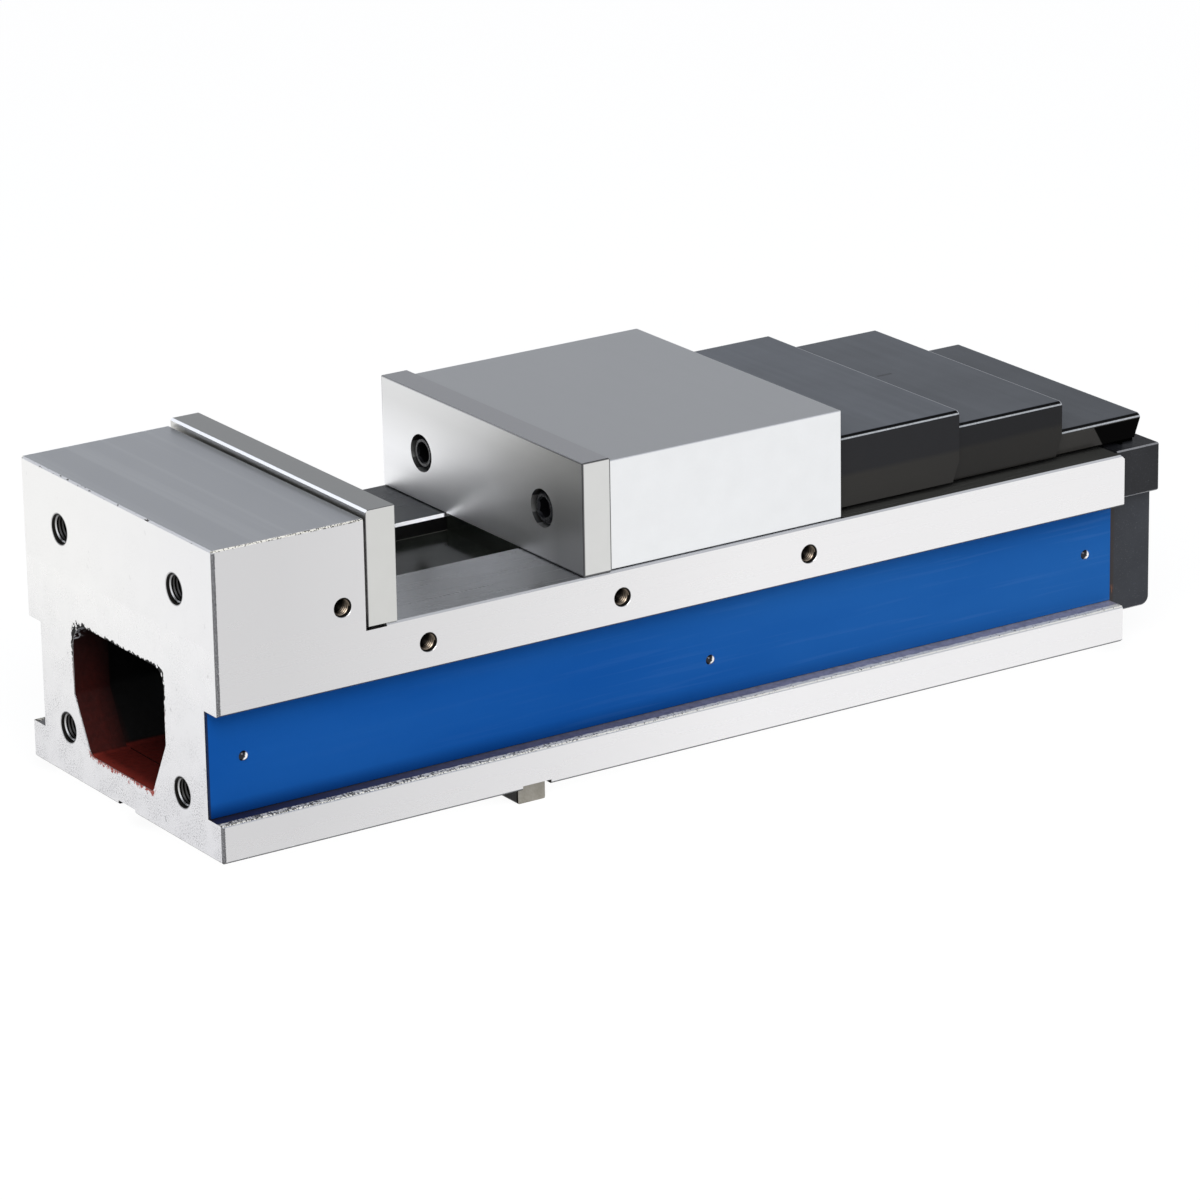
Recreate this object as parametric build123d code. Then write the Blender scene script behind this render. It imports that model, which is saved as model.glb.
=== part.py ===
from build123d import *
import math
import os

# Precision machine vise with a 200 mm wide bed. All sizes are in millimetres.
# While it is built, X = 0 is the end face at the fixed jaw, +X runs to the drive end, Y = 0 is the
# middle plane and Z = 0 is the underside of the base. The finished pieces are then moved so that
# the origin lies under the middle of the vise, level with the underside of the guide keys.

# Base
base_length = 584.8
base_width = 200.0
bed_height = 110.0
flange_height = 20.9
rail_side_height = 30.0
recess_depth = 13.7
edge_chamfer = 1.0
rail_end_chamfer = 2.5
slot_width = 71.6
slot_chamfer = 1.6
ledge_thickness = 24.0
chamber_wall = 28.3
chamber_foot_wall = 48.3
chamber_floor = 19.5
chamber_knee = 48.0
chamber_radius = 8.0
end_wall = 21.5
guard_tunnel_roof = 7.0
fixed_block_length = 89.5

# Cast window in the end wall: it is cored a little off the middle, as cast
window_far_wall = 34.3
window_near_wall = 41.3
window_roof = 19.8
window_knee = 49.0
window_bottom = 18.8
window_taper = 15.5
window_radii = (16.0, 9.0, 4.0, 4.0, 6.0, 4.0)

# Jaws and jaw plates
space_behind_jaw = 192.8
travel_opening = 74.7
closed_gap = 0.3
slide_gap = 0.3
jaw_plate_height = 63.0
jaw_plate_thickness = 17.6
jaw_plate_side_inset = 0.3
plate_edge_chamfer = 0.3
plate_back_chamfer = 1.2
seat_relief = 1.7
seat_margin = 9.0
seat_foot = 2.0
seat_notch_length = 12.6
seat_notch_depth = 1.5
fixed_block_drop = 4.0
movable_block_drop = 2.4
movable_block_length = 150.3
movable_block_side_inset = 2.2
movable_edge_chamfer = 0.4
tongue_gap = 0.1
tongue_depth = 8.0
tongue_front = 20.3
tongue_length = 118.0

# Tapped holes
end_hole_r = 8.0
end_hole_depth = 30.0
end_hole_mouth_r = 8.6
end_hole_inset = 39.7
end_hole_rise = 28.5
end_hole_lower = 27.7
side_hole_r = 5.0
side_hole_depth = 20.0
side_hole_mouth_r = 5.5
side_hole_first = 127.0
side_hole_pitch = 121.0
side_hole_count = 3
side_hole_drop = 15.4
block_hole_inset = 13.5
block_hole_rise = 13.8

# Keyways and guide keys
keyway_width = 18.0
keyway_depth = 2.4
cross_keyway_x = 192.0
key_side_gap = 0.05
key_drop = 9.8
key_length = 30.0
key_inset = 6.0
key_chamfer = 0.6
key_round = 1.5
key_head_sunk = 0.5
key_screw_end_gap = 1.0

# Side plate and its rivets
side_plate_thickness = 1.6
side_plate_margin = 0.4
rivet_front_x = 21.3
rivet_middle_x = 312.0
rivet_rear_inset = 17.8
rivet_z = 51.5
rivet_middle_drop = 8.8
rivet_head_r = 2.9
rivet_head_height = 1.7
rivet_shank_r = 1.6
rivet_shank_length = 8.0
rivet_end_gap = 1.0

# Rear bracket
bracket_thickness = 30.0
bracket_lip_side_inset = 6.5
bracket_lip_height = 28.0
bracket_bottom = 12.4
bracket_corner = 5.0
bracket_side_inset = 0.4
bracket_edge_chamfer = 0.8
bracket_screw_edge = 15.3
bracket_screw_drop = 14.0
bracket_screw_lower = 46.0
bracket_screw_reach = 26.0
dowel_r = 5.0
dowel_z = 71.0
dowel_reach = 15.0
dowel_chamfer = 0.5
bracket_screw_end_gap = 2.0

# Socket head screws: shank radius, head radius, head height, hexagon across flats
m5 = (2.5, 4.25, 2.8, 3.0)
m6 = (3.0, 5.0, 6.0, 5.0)
m12 = (6.0, 9.0, 12.0, 10.0)
thread_gap = 0.05
passage_gap = 0.5
counterbore_r = 10.65
counterbore_depth = 13.2
jaw_screw_inset = 40.0
jaw_screw_rise = 28.2
jaw_screw_reach = 30.0
key_screw_reach = 14.0
screw_end_gap = 2.0
screw_rim_share = 0.16
socket_share = 0.55
socket_mouth_share = 1.08
drill_point_share = 0.58

# Covers, folded from sheet: the largest rides on the jaw, the smallest is fixed at the rear
cover_sheet = 1.5
cover_bend = 3.0
cover_above_bed = 3.3
cover_corner_height = 11.5
cover_corner_length = 4.3
jaw_cover_length = 84.1
jaw_cover_side_inset = 6.3
jaw_cover_drop = 17.4
middle_cover_side_step = 2.8
middle_cover_top_step = 8.8
rear_cover_side_step = 2.9
rear_cover_top_step = 18.0
rear_cover_end_inset = 7.8
rear_cover_excess = 10.9
cover_overlap = 6.0
cover_front_gap = 5.0
cover_flange_width = 14.0
cover_flange_gap = 0.3
wiper_length = 3.0
wiper_foot_gap = 1.0
cover_foot_inset = 13.0
cover_foot_length = 11.0
jaw_cover_screw_inset = 31.5
rear_cover_screw_inset = 25.8
cover_screw_reach = 8.0

# Front chip guard
guard_sheet = 1.5
guard_drop = 9.0
guard_end_gap = 1.6
guard_side_gap = 0.5
guard_foot_gap = 0.3
guard_screw_x = 14.0
guard_screw_spread = 40.0

# Angle-lock nut
spindle_z = 55.0
nut_front = 43.5
nut_length = 60.0
nut_side_gap = 14.0
nut_bottom = 32.0
nut_wing_gap = 8.0
nut_wing_height = 24.0
nut_top_gap = 0.3
nut_chamfer = 6.0
horn_width = 52.0
horn_rise = 38.0
horn_rear = 98.5
pocket_side_gap = 2.0
pocket_top_gap = 4.0
pocket_rear_wall = 14.0
lock_angle = 30.0
lock_x = 40.3
lock_rise = 14.0
lock_r = 14.0
lock_gap = 0.05
lock_proud = 1.0
set_screw_r = 6.0
set_screw_rise = 25.0
set_screw_af = 6.0
set_screw_socket = 6.0
set_screw_inset = 1.0

# Spindle, with its booster and its bearings
thread_r = 17.75
running_gap = 0.05
thread_front = 150.0
thread_lead_in = 2.5
neck_r = 14.0
neck_gap = 0.1
booster_front_gap = 11.0
booster_rear_gap = 1.85
booster_r = 30.0
booster_bore_r = 22.0
booster_length = 124.0
booster_wall = 10.0
booster_chamfer = 1.5
piston_gap = 0.1
spindle_head_length = 8.0
spindle_head_offset = 2.0
spring_count = 6
spring_pitch = 3.8
spring_sheet = 2.0
spring_hole_gap = 0.5
piston_length = 20.0
piston_stem_r = 9.8
nose_r = 12.0
nose_length = 8.0
drive_flange_length = 12.0
journal_r = 16.0
cap_flange_length = 4.0
collar_r = 26.0
collar_length = 12.0
thrust_washer = 1.5
needle_r = 1.9
needle_length = 7.0
needle_count = 16
needle_gap = 0.1
needle_inset = 1.5
cage_share = 0.7
ring_chamfer = 0.8
bearing_gap = 0.05
bush_wall = 4.0
bush_end_inset = 1.2
rear_washer = 3.0
rear_washer_r = 25.0
lock_nut_length = 10.0
lock_nut_r = 24.0
lock_nut_slots = 4
lock_nut_slot = 6.0
lock_nut_slot_depth = 2.5
hex_length = 22.0
hex_across_flats = 24.0
hex_chamfer = 1.5

# Widths that follow from the sizes above
half_base = base_width / 2
half_slot = slot_width / 2
web_y = half_base - recess_depth
window_far_side = web_y - window_far_wall
window_near_side = web_y - window_near_wall
chamber_width = 2 * (web_y - chamber_wall)
chamber_floor_width = 2 * (web_y - chamber_foot_wall)
jaw_plate_width = base_width - 2 * jaw_plate_side_inset
movable_block_width = base_width - 2 * movable_block_side_inset
bracket_lip_width = base_width - 2 * bracket_lip_side_inset
jaw_cover_width = movable_block_width - 2 * jaw_cover_side_inset
middle_cover_width = jaw_cover_width - 2 * middle_cover_side_step
rear_cover_width = middle_cover_width - 2 * rear_cover_side_step
nut_width = chamber_width - 2 * nut_side_gap
nut_wing_width = chamber_width - 2 * nut_wing_gap
end_hole_y = half_base - end_hole_inset
jaw_screw_y = half_base - jaw_screw_inset
bracket_screw_y = web_y - bracket_screw_edge
jaw_cover_screw_y = jaw_cover_width / 2 - jaw_cover_screw_inset
rear_cover_screw_y = rear_cover_width / 2 - rear_cover_screw_inset

# Heights and places that follow from the sizes above
rail_bottom = bed_height - rail_side_height
ledge_z = bed_height - ledge_thickness
plate_top = bed_height + jaw_plate_height
fixed_top = plate_top - fixed_block_drop
movable_top = plate_top - movable_block_drop
seat_x = fixed_block_length + seat_relief
fixed_jaw_x = seat_x + jaw_plate_thickness
block_rear = base_length - space_behind_jaw
block_front = block_rear - movable_block_length
movable_jaw_x = block_front - jaw_plate_thickness
jaw_opening = movable_jaw_x - fixed_jaw_x
slide_z = bed_height + slide_gap
screw_z = bed_height + jaw_screw_rise
window_top = bed_height - window_roof
guard_tunnel_height = bed_height - guard_tunnel_roof
guard_top = bed_height - guard_drop
end_hole_upper = bed_height + end_hole_rise
side_hole_z = bed_height - side_hole_drop
block_hole_x = fixed_block_length - block_hole_inset
block_hole_z = bed_height + block_hole_rise
rivet_places = ((rivet_front_x, rivet_z), (rivet_middle_x, rivet_z - rivet_middle_drop),
                (base_length - rivet_rear_inset, rivet_z))
bracket_screw_upper = bed_height - bracket_screw_drop
jaw_cover_top = movable_top - jaw_cover_drop
middle_cover_top = jaw_cover_top - middle_cover_top_step
rear_cover_top = middle_cover_top - rear_cover_top_step
horn_top = bed_height + horn_rise
pocket_top = horn_top + pocket_top_gap
lock_z = bed_height + lock_rise
set_screw_z = bed_height + set_screw_rise
bracket_rear = base_length + bracket_thickness
travel_closing = jaw_opening - closed_gap
jaw_opening_max = jaw_opening + travel_opening
key_middle = half_base - key_inset - key_length / 2
guard_length = movable_jaw_x - travel_closing - end_wall - guard_end_gap

# Cover places: the middle cover runs between a closed place and an open place, and with the jaw closed
# it and the rear cover share the space from the jaw's cover to the bracket
cover_bottom = bed_height + cover_above_bed
jaw_cover_rear = block_rear + jaw_cover_length
middle_front_closed = jaw_cover_rear - travel_closing - cover_overlap
middle_front_open = block_rear + travel_opening + cover_front_gap
rear_cover_rear = bracket_rear - rear_cover_end_inset
shared_space = rear_cover_rear - middle_front_closed + cover_overlap
middle_cover_length = (shared_space - rear_cover_excess) / 2
middle_cover_ratio = (middle_front_open - middle_front_closed) / (travel_closing + travel_opening)
middle_front = middle_front_closed + middle_cover_ratio * travel_closing
middle_rear = middle_front + middle_cover_length
rear_cover_front = middle_front_closed + middle_cover_length - cover_overlap
cover_foot_front = rear_cover_rear - cover_foot_inset
cover_foot_x = cover_foot_front + (cover_sheet + cover_foot_length) / 2

# The tilted bearing plane of the angle lock, in the middle plane
slope = math.radians(lock_angle)
lock_centre = (block_front + lock_x, lock_z)
lock_normal = (math.cos(slope), math.sin(slope))

# Spindle places, worked out from the bearing in the rear bracket forwards
needle_stack = 2 * thrust_washer + 2 * needle_r + 3 * bearing_gap
collar_rear = base_length - needle_stack
collar_front = collar_rear - collar_length
booster_rear = collar_front - booster_rear_gap - cap_flange_length
booster_front = booster_rear - booster_length
thread_rear = booster_front - booster_front_gap
spindle_head_x = booster_front + booster_wall + spindle_head_offset
spring_front = spindle_head_x + spindle_head_length
spring_rear = spring_front + spring_count * spring_pitch
piston_rear = spring_rear + piston_length
drive_flange_rear = piston_rear + drive_flange_length
washer_front = bracket_rear + bearing_gap
washer_rear = washer_front + rear_washer
lock_nut_rear = washer_rear + lock_nut_length
overall_length = lock_nut_rear + hex_length


def block(x0, x1, y0, y1, z0, z1):
    """A box between three pairs of planes."""
    middle = Pos((x0 + x1) / 2, (y0 + y1) / 2, (z0 + z1) / 2)
    return middle * Box(x1 - x0, y1 - y0, z1 - z0)


def bar(x0, x1, width, z0, z1):
    """A box that is centred on the middle plane."""
    return block(x0, x1, -width / 2, width / 2, z0, z1)


def rod(x0, x1, radius, y=0.0, z=spindle_z):
    """A round bar along X, on the spindle's axis unless told otherwise."""
    return Pos((x0 + x1) / 2, y, z) * Rot(0, 90, 0) * Cylinder(radius, x1 - x0)


def along_x(outline, x0, x1):
    """Extrude a closed outline of (y, z) points or edges along X."""
    face = make_face(Plane.YZ.offset(x0) * outline)
    return extrude(face, amount=x1 - x0, dir=(1, 0, 0))


def along_y(points, width):
    """Extrude a closed outline of (x, z) points across the middle plane."""
    face = make_face(Plane.XZ.offset(width / 2) * Polyline(*points, close=True))
    return extrude(face, amount=width, dir=(0, 1, 0))


def set_on(x, y, z, normal, tool):
    """Place a tool that is made pointing up +Z, so that it points along a face's outward normal."""
    return Plane(origin=(x, y, z), z_dir=normal) * tool


def tapped_hole(radius, depth, mouth_r):
    """The cutting tool of a blind tapped hole: countersunk mouth at Z = 0 and a drill point."""
    tip = depth + radius * drill_point_share
    above = 1.0
    outline = Polyline((0, above), (mouth_r + above, above), (mouth_r, 0), (radius, radius - mouth_r),
                       (radius, -depth), (0, -tip), close=True)
    return revolve(make_face(Plane.XZ * outline), Axis.Z)


def socket_screw(size, length):
    """A socket head cap screw: the top of its head is at Z = 0 and its shank points down."""
    shank_r, head_r, head_height, across_flats = size
    rim = screw_rim_share * head_r
    outline = Polyline((0, 0), (head_r - rim, 0), (head_r, -rim), (head_r, -head_height),
                       (shank_r, -head_height), (shank_r, -head_height - length + rim),
                       (shank_r - rim, -head_height - length), (0, -head_height - length), close=True)
    screw = revolve(make_face(Plane.XZ * outline), Axis.Z)
    flat_r = across_flats / 2
    mouth_r = socket_mouth_share * across_flats / math.sqrt(3)
    mouth = Polyline((0, 0), (mouth_r, 0), (flat_r, flat_r - mouth_r), (0, flat_r - mouth_r), close=True)
    screw -= revolve(make_face(Plane.XZ * mouth), Axis.Z)
    socket = RegularPolygon(flat_r, 6, major_radius=False)
    return screw - extrude(socket, amount=-socket_share * head_height)


def clearance_hole(size, depth):
    """A plain hole for a screw's shank, from Z = 0 down."""
    return Pos(0, 0, -depth / 2) * Cylinder(size[0] + passage_gap, depth)


def thread_hole(size, depth):
    """The tapped hole that a screw sits in, from Z = 0 down."""
    return Pos(0, 0, -depth / 2) * Cylinder(size[0] + thread_gap, depth)


def pick(shape, axis, test):
    """The straight edges along one axis whose centre passes a test."""
    return [edge for edge in shape.edges().filter_by(axis) if test(edge.center())]


def near(value, target):
    return abs(value - target) < 0.01


# Base and fixed jaw

def window_outline():
    y1 = window_far_side
    y0 = -window_near_side
    points = [(y1, window_top), (y0, window_top), (y0, window_knee), (y0 + window_taper, window_bottom),
              (y1 - window_taper, window_bottom), (y1, window_knee)]
    return FilletPolyline(*points, radius=list(window_radii), close=True)


def chamber_outline():
    wide = chamber_width / 2
    narrow = chamber_floor_width / 2
    points = [(wide, ledge_z), (-wide, ledge_z), (-wide, chamber_knee), (-narrow, chamber_floor),
              (narrow, chamber_floor), (wide, chamber_knee)]
    return FilletPolyline(*points, radius=chamber_radius, close=True)


def base_body():
    """The outside of the base and the block of the fixed jaw, with all outer edges broken."""
    side = [(half_base, 0), (half_base, flange_height), (web_y, flange_height), (web_y, rail_bottom),
            (half_base, rail_bottom), (half_base, bed_height)]
    mirrored = [(-y, z) for y, z in reversed(side)]
    body = along_x(Polyline(*side, *mirrored, close=True), 0, base_length)
    body += bar(0, fixed_block_length, base_width, bed_height, fixed_top)
    edges = pick(body, Axis.X, lambda c: near(abs(c.Y), half_base))
    edges += pick(body, Axis.Y, lambda c: near(c.X, 0) and (near(c.Z, 0) or near(c.Z, fixed_top)))
    edges += pick(body, Axis.Z, lambda c: near(c.X, 0) and near(abs(c.Y), half_base))
    edges += pick(body, Axis.Y, lambda c: near(c.X, base_length) and near(c.Z, 0))
    body = chamfer(edges, edge_chamfer)
    wedge = [(base_length - rail_end_chamfer, bed_height), (base_length, bed_height - rail_end_chamfer),
             (base_length + 1, bed_height - rail_end_chamfer), (base_length + 1, bed_height + 1),
             (base_length - rail_end_chamfer, bed_height + 1)]
    return body - along_y(wedge, base_width + 2)


def end_hole_places():
    return [(side * end_hole_y, z) for side in (1, -1) for z in (end_hole_upper, end_hole_lower)]


def side_hole_places():
    places = [(side_hole_first + number * side_hole_pitch, side_hole_z) for number in range(side_hole_count)]
    return [(block_hole_x, block_hole_z)] + places


def base_holes():
    """Every tapped hole in the base, as one list of cutting tools."""
    tools = []
    for y, z in end_hole_places():
        tools.append(set_on(0, y, z, (-1, 0, 0), tapped_hole(end_hole_r, end_hole_depth, end_hole_mouth_r)))
    for x, z in side_hole_places():
        for side in (-1, 1):
            tool = tapped_hole(side_hole_r, side_hole_depth, side_hole_mouth_r)
            tools.append(set_on(x, side * half_base, z, (0, side, 0), tool))
    for side in (-1, 1):
        reach = jaw_screw_reach + seat_relief
        tools.append(set_on(seat_x, side * jaw_screw_y, screw_z, (1, 0, 0), thread_hole(m12, reach)))
        tool = thread_hole(m6, key_screw_reach)
        tools.append(set_on(cross_keyway_x, side * key_middle, 0, (0, 0, -1), tool))
        for z in (bracket_screw_upper, bracket_screw_lower):
            tool = thread_hole(m12, bracket_screw_reach)
            tools.append(set_on(base_length, side * bracket_screw_y, z, (1, 0, 0), tool))
        y = side * bracket_screw_y
        tools.append(rod(base_length - dowel_reach, base_length, dowel_r, y, dowel_z))
    for x, z in rivet_places:
        deep = side_plate_thickness + rivet_shank_length
        tool = Pos(0, 0, -deep / 2) * Cylinder(rivet_shank_r, deep)
        tools.append(set_on(x, -web_y - side_plate_thickness, z, (0, -1, 0), tool))
    return tools


def base_casting():
    body = base_body()
    seat = bar(fixed_block_length, seat_x, base_width - 2 * seat_margin, bed_height + seat_foot,
               fixed_top - seat_margin)
    body += seat
    body -= along_x(window_outline(), -1, end_wall + 1)
    body -= along_x(chamber_outline(), end_wall, base_length)
    body -= bar(end_wall, seat_x, slot_width, ledge_z - chamber_radius, guard_tunnel_height)
    body -= bar(seat_x - seat_relief, base_length, slot_width, ledge_z - chamber_radius, bed_height)
    mouths = pick(body, Axis.X, lambda c: near(abs(c.Y), half_slot) and near(c.Z, bed_height))
    body = chamfer(mouths, slot_chamfer)
    notch_end = fixed_block_length + seat_notch_length
    body -= bar(fixed_block_length, notch_end, base_width, bed_height - seat_notch_depth, bed_height)
    body -= bar(0, base_length, keyway_width, 0, keyway_depth)
    half_key = keyway_width / 2
    body -= bar(cross_keyway_x - half_key, cross_keyway_x + half_key, base_width, 0, keyway_depth)
    return body - base_holes()


def jaw_plate(x0, face_side):
    """A hard jaw plate with two counterbored holes in the face that grips the work."""
    z0 = bed_height if face_side > 0 else slide_z
    x1 = x0 + jaw_plate_thickness
    plate = bar(x0, x1, jaw_plate_width, z0, plate_top)
    plate = chamfer(plate.edges(), plate_edge_chamfer)
    face_x, back_x = (x1, x0) if face_side > 0 else (x0, x1)
    bevel = [(back_x, plate_top - plate_back_chamfer), (back_x + face_side * plate_back_chamfer, plate_top),
             (back_x + face_side * plate_back_chamfer, plate_top + 1), (back_x - face_side, plate_top + 1),
             (back_x - face_side, plate_top - plate_back_chamfer)]
    plate -= along_y(bevel, base_width)
    for side in (-1, 1):
        y = side * jaw_screw_y
        normal = (face_side, 0, 0)
        bore = Pos(0, 0, -counterbore_depth / 2) * Cylinder(counterbore_r, counterbore_depth)
        plate -= set_on(face_x, y, screw_z, normal, bore)
        plate -= set_on(face_x, y, screw_z, normal, clearance_hole(m12, jaw_plate_thickness))
    return plate


def jaw_screws(face_x, face_side):
    """The two screws of a jaw plate, with their heads down in the counterbores."""
    sunk = counterbore_depth - m12[2]
    length = jaw_plate_thickness - counterbore_depth + jaw_screw_reach
    x = face_x - face_side * sunk
    places = [side * jaw_screw_y for side in (-1, 1)]
    return [set_on(x, y, screw_z, (face_side, 0, 0), socket_screw(m12, length)) for y in places]


def guide_key(side):
    """A key in the cross keyway, on one side of the vise."""
    half_width = keyway_width / 2 - key_side_gap
    y0 = side * (key_middle - key_length / 2)
    y1 = side * (key_middle + key_length / 2)
    key = block(cross_keyway_x - half_width, cross_keyway_x + half_width, min(y0, y1), max(y0, y1),
                -key_drop, keyway_depth)
    key = chamfer(key.edges().filter_by(Axis.Z), key_chamfer)
    key = fillet(pick(key, Axis.Y, lambda c: near(c.Z, -key_drop)), key_round)
    key = chamfer(pick(key, Axis.Y, lambda c: near(c.Z, keyway_depth)), key_chamfer)
    sunk = m6[2] + key_head_sunk
    y = side * key_middle
    bore = Pos(0, 0, -sunk / 2) * Cylinder(m6[1] + passage_gap, sunk)
    key -= set_on(cross_keyway_x, y, -key_drop, (0, 0, -1), bore)
    return key - set_on(cross_keyway_x, y, -key_drop, (0, 0, -1), clearance_hole(m6, key_drop + keyway_depth))


def guide_key_screws():
    length = key_drop + key_screw_reach - key_head_sunk - m6[2] - key_screw_end_gap
    places = [side * key_middle for side in (-1, 1)]
    screw_bottom = -key_drop + key_head_sunk
    return [set_on(cross_keyway_x, y, screw_bottom, (0, 0, -1), socket_screw(m6, length)) for y in places]


def side_plate():
    """The thin plate in the recess on the near side."""
    y0 = -web_y - side_plate_thickness
    z0 = flange_height + side_plate_margin
    plate = block(side_plate_margin, base_length, y0, -web_y, z0, rail_bottom - side_plate_margin)
    for x, z in rivet_places:
        hole = Pos(0, 0, -side_plate_thickness / 2) * Cylinder(rivet_shank_r, side_plate_thickness)
        plate -= set_on(x, y0, z, (0, -1, 0), hole)
    return plate


def side_plate_rivets():
    """Domed rivets: the head is a slice of a ball."""
    ball_r = (rivet_head_r ** 2 + rivet_head_height ** 2) / (2 * rivet_head_height)
    head = Pos(0, 0, rivet_head_height - ball_r) * Sphere(ball_r)
    head &= Pos(0, 0, rivet_head_height / 2) * Cylinder(rivet_head_r + 1, rivet_head_height)
    shank_length = side_plate_thickness + rivet_shank_length - rivet_end_gap
    rivet = head + Pos(0, 0, -shank_length / 2) * Cylinder(rivet_shank_r, shank_length)
    y = -web_y - side_plate_thickness
    return [set_on(x, y, z, (0, -1, 0), rivet) for x, z in rivet_places]


# Rear bracket

def rear_bracket():
    """The end plate that carries the spindle: a wide lip above a narrower body."""
    lip_z = bed_height - bracket_lip_height
    body_width = 2 * (web_y - bracket_side_inset)
    body = bar(base_length, bracket_rear, body_width, bracket_bottom, bed_height)
    corner = pick(body, Axis.Y, lambda c: near(c.X, bracket_rear) and near(c.Z, bracket_bottom))
    body = fillet(corner, bracket_corner)
    body += bar(base_length, bracket_rear, bracket_lip_width, lip_z, bed_height)
    outer = pick(body, Axis.Y, lambda c: near(c.X, bracket_rear) and c.Z > lip_z - 1)
    outer += pick(body, Axis.Z, lambda c: near(c.X, bracket_rear))
    outer += pick(body, Axis.X, lambda c: near(abs(c.Y), bracket_lip_width / 2))
    body = chamfer(outer, bracket_edge_chamfer)
    body -= rod(base_length, bracket_rear, journal_r + running_gap + bush_wall)
    for y, z in bracket_screw_places():
        bore = Pos(0, 0, -counterbore_depth / 2) * Cylinder(counterbore_r, counterbore_depth)
        body -= set_on(bracket_rear, y, z, (1, 0, 0), bore)
        body -= set_on(bracket_rear, y, z, (1, 0, 0), clearance_hole(m12, bracket_thickness))
    for side in (-1, 1):
        body -= rod(base_length, bracket_rear, dowel_r, side * bracket_screw_y, dowel_z)
    tool = thread_hole(m5, cover_screw_reach + screw_end_gap)
    for y in rear_cover_screw_places():
        body -= set_on(cover_foot_x, y, bed_height, (0, 0, 1), tool)
    return body


def bracket_screw_places():
    heights = (bracket_screw_upper, bracket_screw_lower)
    return [(side * bracket_screw_y, z) for side in (-1, 1) for z in heights]


def rear_bracket_screws():
    x = bracket_rear - counterbore_depth + m12[2]
    length = bracket_thickness - counterbore_depth + bracket_screw_reach - bracket_screw_end_gap
    return [set_on(x, y, z, (1, 0, 0), socket_screw(m12, length)) for y, z in bracket_screw_places()]


def rear_bracket_dowels():
    """Two ground pins that fix the bracket's place, flush with its rear face."""
    pins = []
    for side in (-1, 1):
        pin = rod(base_length - dowel_reach, bracket_rear, dowel_r, side * bracket_screw_y, dowel_z)
        pins.append(chamfer(pin.edges().filter_by(GeomType.CIRCLE), dowel_chamfer))
    return pins


def spindle_bush():
    """A bronze bush in the bracket, in which the drive shaft turns."""
    x0 = base_length + bush_end_inset
    x1 = bracket_rear - bush_end_inset
    inner = journal_r + running_gap
    return rod(x0, x1, inner + bush_wall) - rod(x0, x1, inner)


# Covers

def cover_outline(width, top, bottom, bend):
    """The outline of a folded cover, open to the bed below."""
    half = width / 2
    straight = top - bend
    lines = Polyline((-half, straight), (-half, bottom), (half, bottom), (half, straight))
    left = RadiusArc((-half, straight), (-half + bend, top), bend)
    right = RadiusArc((half - bend, top), (half, straight), bend)
    roof = Line((-half + bend, top), (half - bend, top))
    return Curve() + [lines, left, right, roof]


def cover_ring(x0, x1, outer, inner):
    """The band between two cover outlines, each given as width, top and bend radius."""
    band = along_x(cover_outline(outer[0], outer[1], cover_bottom, outer[2]), x0, x1)
    hollow = along_x(cover_outline(inner[0], inner[1], cover_bottom - 1, inner[2]), x0 - 1, x1 + 1)
    return band - hollow


def cover_sizes(width, top, offset):
    """A cover's outline moved inwards by an offset, or outwards where it is negative."""
    return (width - 2 * offset, top - offset, max(cover_bend - offset, 0.5))


def folded_cover(x0, x1, width, top):
    """The folded sheet, with the lower rear corners of its sides cut at a slant."""
    skin = cover_ring(x0, x1, cover_sizes(width, top, 0), cover_sizes(width, top, cover_sheet))
    cut = [(x1 - cover_corner_length, cover_bottom - 1), (x1 - cover_corner_length, cover_bottom),
           (x1, cover_bottom + cover_corner_height), (x1 + 1, cover_bottom + cover_corner_height),
           (x1 + 1, cover_bottom - 1)]
    return skin - along_y(cut, width + 2)


def front_flange(x0, width, top, outside_width, outside_top):
    """The turned-up front end of a cover, which runs inside the next larger one."""
    inner = cover_sizes(width, top, 0)
    outer = cover_sizes(outside_width, outside_top, cover_sheet + cover_flange_gap)
    return cover_ring(x0, x0 + cover_sheet, outer, inner)


def wiper(x1, width, top, inside_width, inside_top):
    """A rubber strip in the rear end of a cover, which wipes the next smaller one."""
    inner = cover_sizes(inside_width, inside_top, -cover_flange_gap)
    outer = cover_sizes(width, top, cover_sheet)
    strip = cover_ring(x1 - wiper_length, x1, outer, inner)
    leg_end = cover_bottom + cover_corner_height + wiper_foot_gap
    return strip - bar(x1 - wiper_length - 1, x1 + 1, base_width, 0, leg_end)


def jaw_cover():
    cover = folded_cover(block_rear, jaw_cover_rear, jaw_cover_width, jaw_cover_top)
    outer = cover_sizes(jaw_cover_width, jaw_cover_top, cover_sheet)
    inner = cover_sizes(jaw_cover_width, jaw_cover_top, cover_sheet + cover_flange_width)
    cover += cover_ring(block_rear, block_rear + cover_sheet, outer, inner)
    for y, z in jaw_cover_screw_places():
        cover -= set_on(block_rear + cover_sheet, y, z, (1, 0, 0), clearance_hole(m5, cover_sheet))
    return cover


def jaw_cover_screw_places():
    upper = jaw_cover_top - cover_sheet - cover_flange_width / 2
    outer = jaw_cover_width / 2 - cover_sheet - cover_flange_width / 2
    lower = cover_bottom + cover_flange_width / 2
    middle = jaw_cover_screw_y
    return [(-middle, upper), (middle, upper), (-outer, lower), (outer, lower)]


def jaw_cover_screws():
    x = block_rear + cover_sheet + m5[2]
    length = cover_sheet + cover_screw_reach
    return [set_on(x, y, z, (1, 0, 0), socket_screw(m5, length)) for y, z in jaw_cover_screw_places()]


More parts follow.
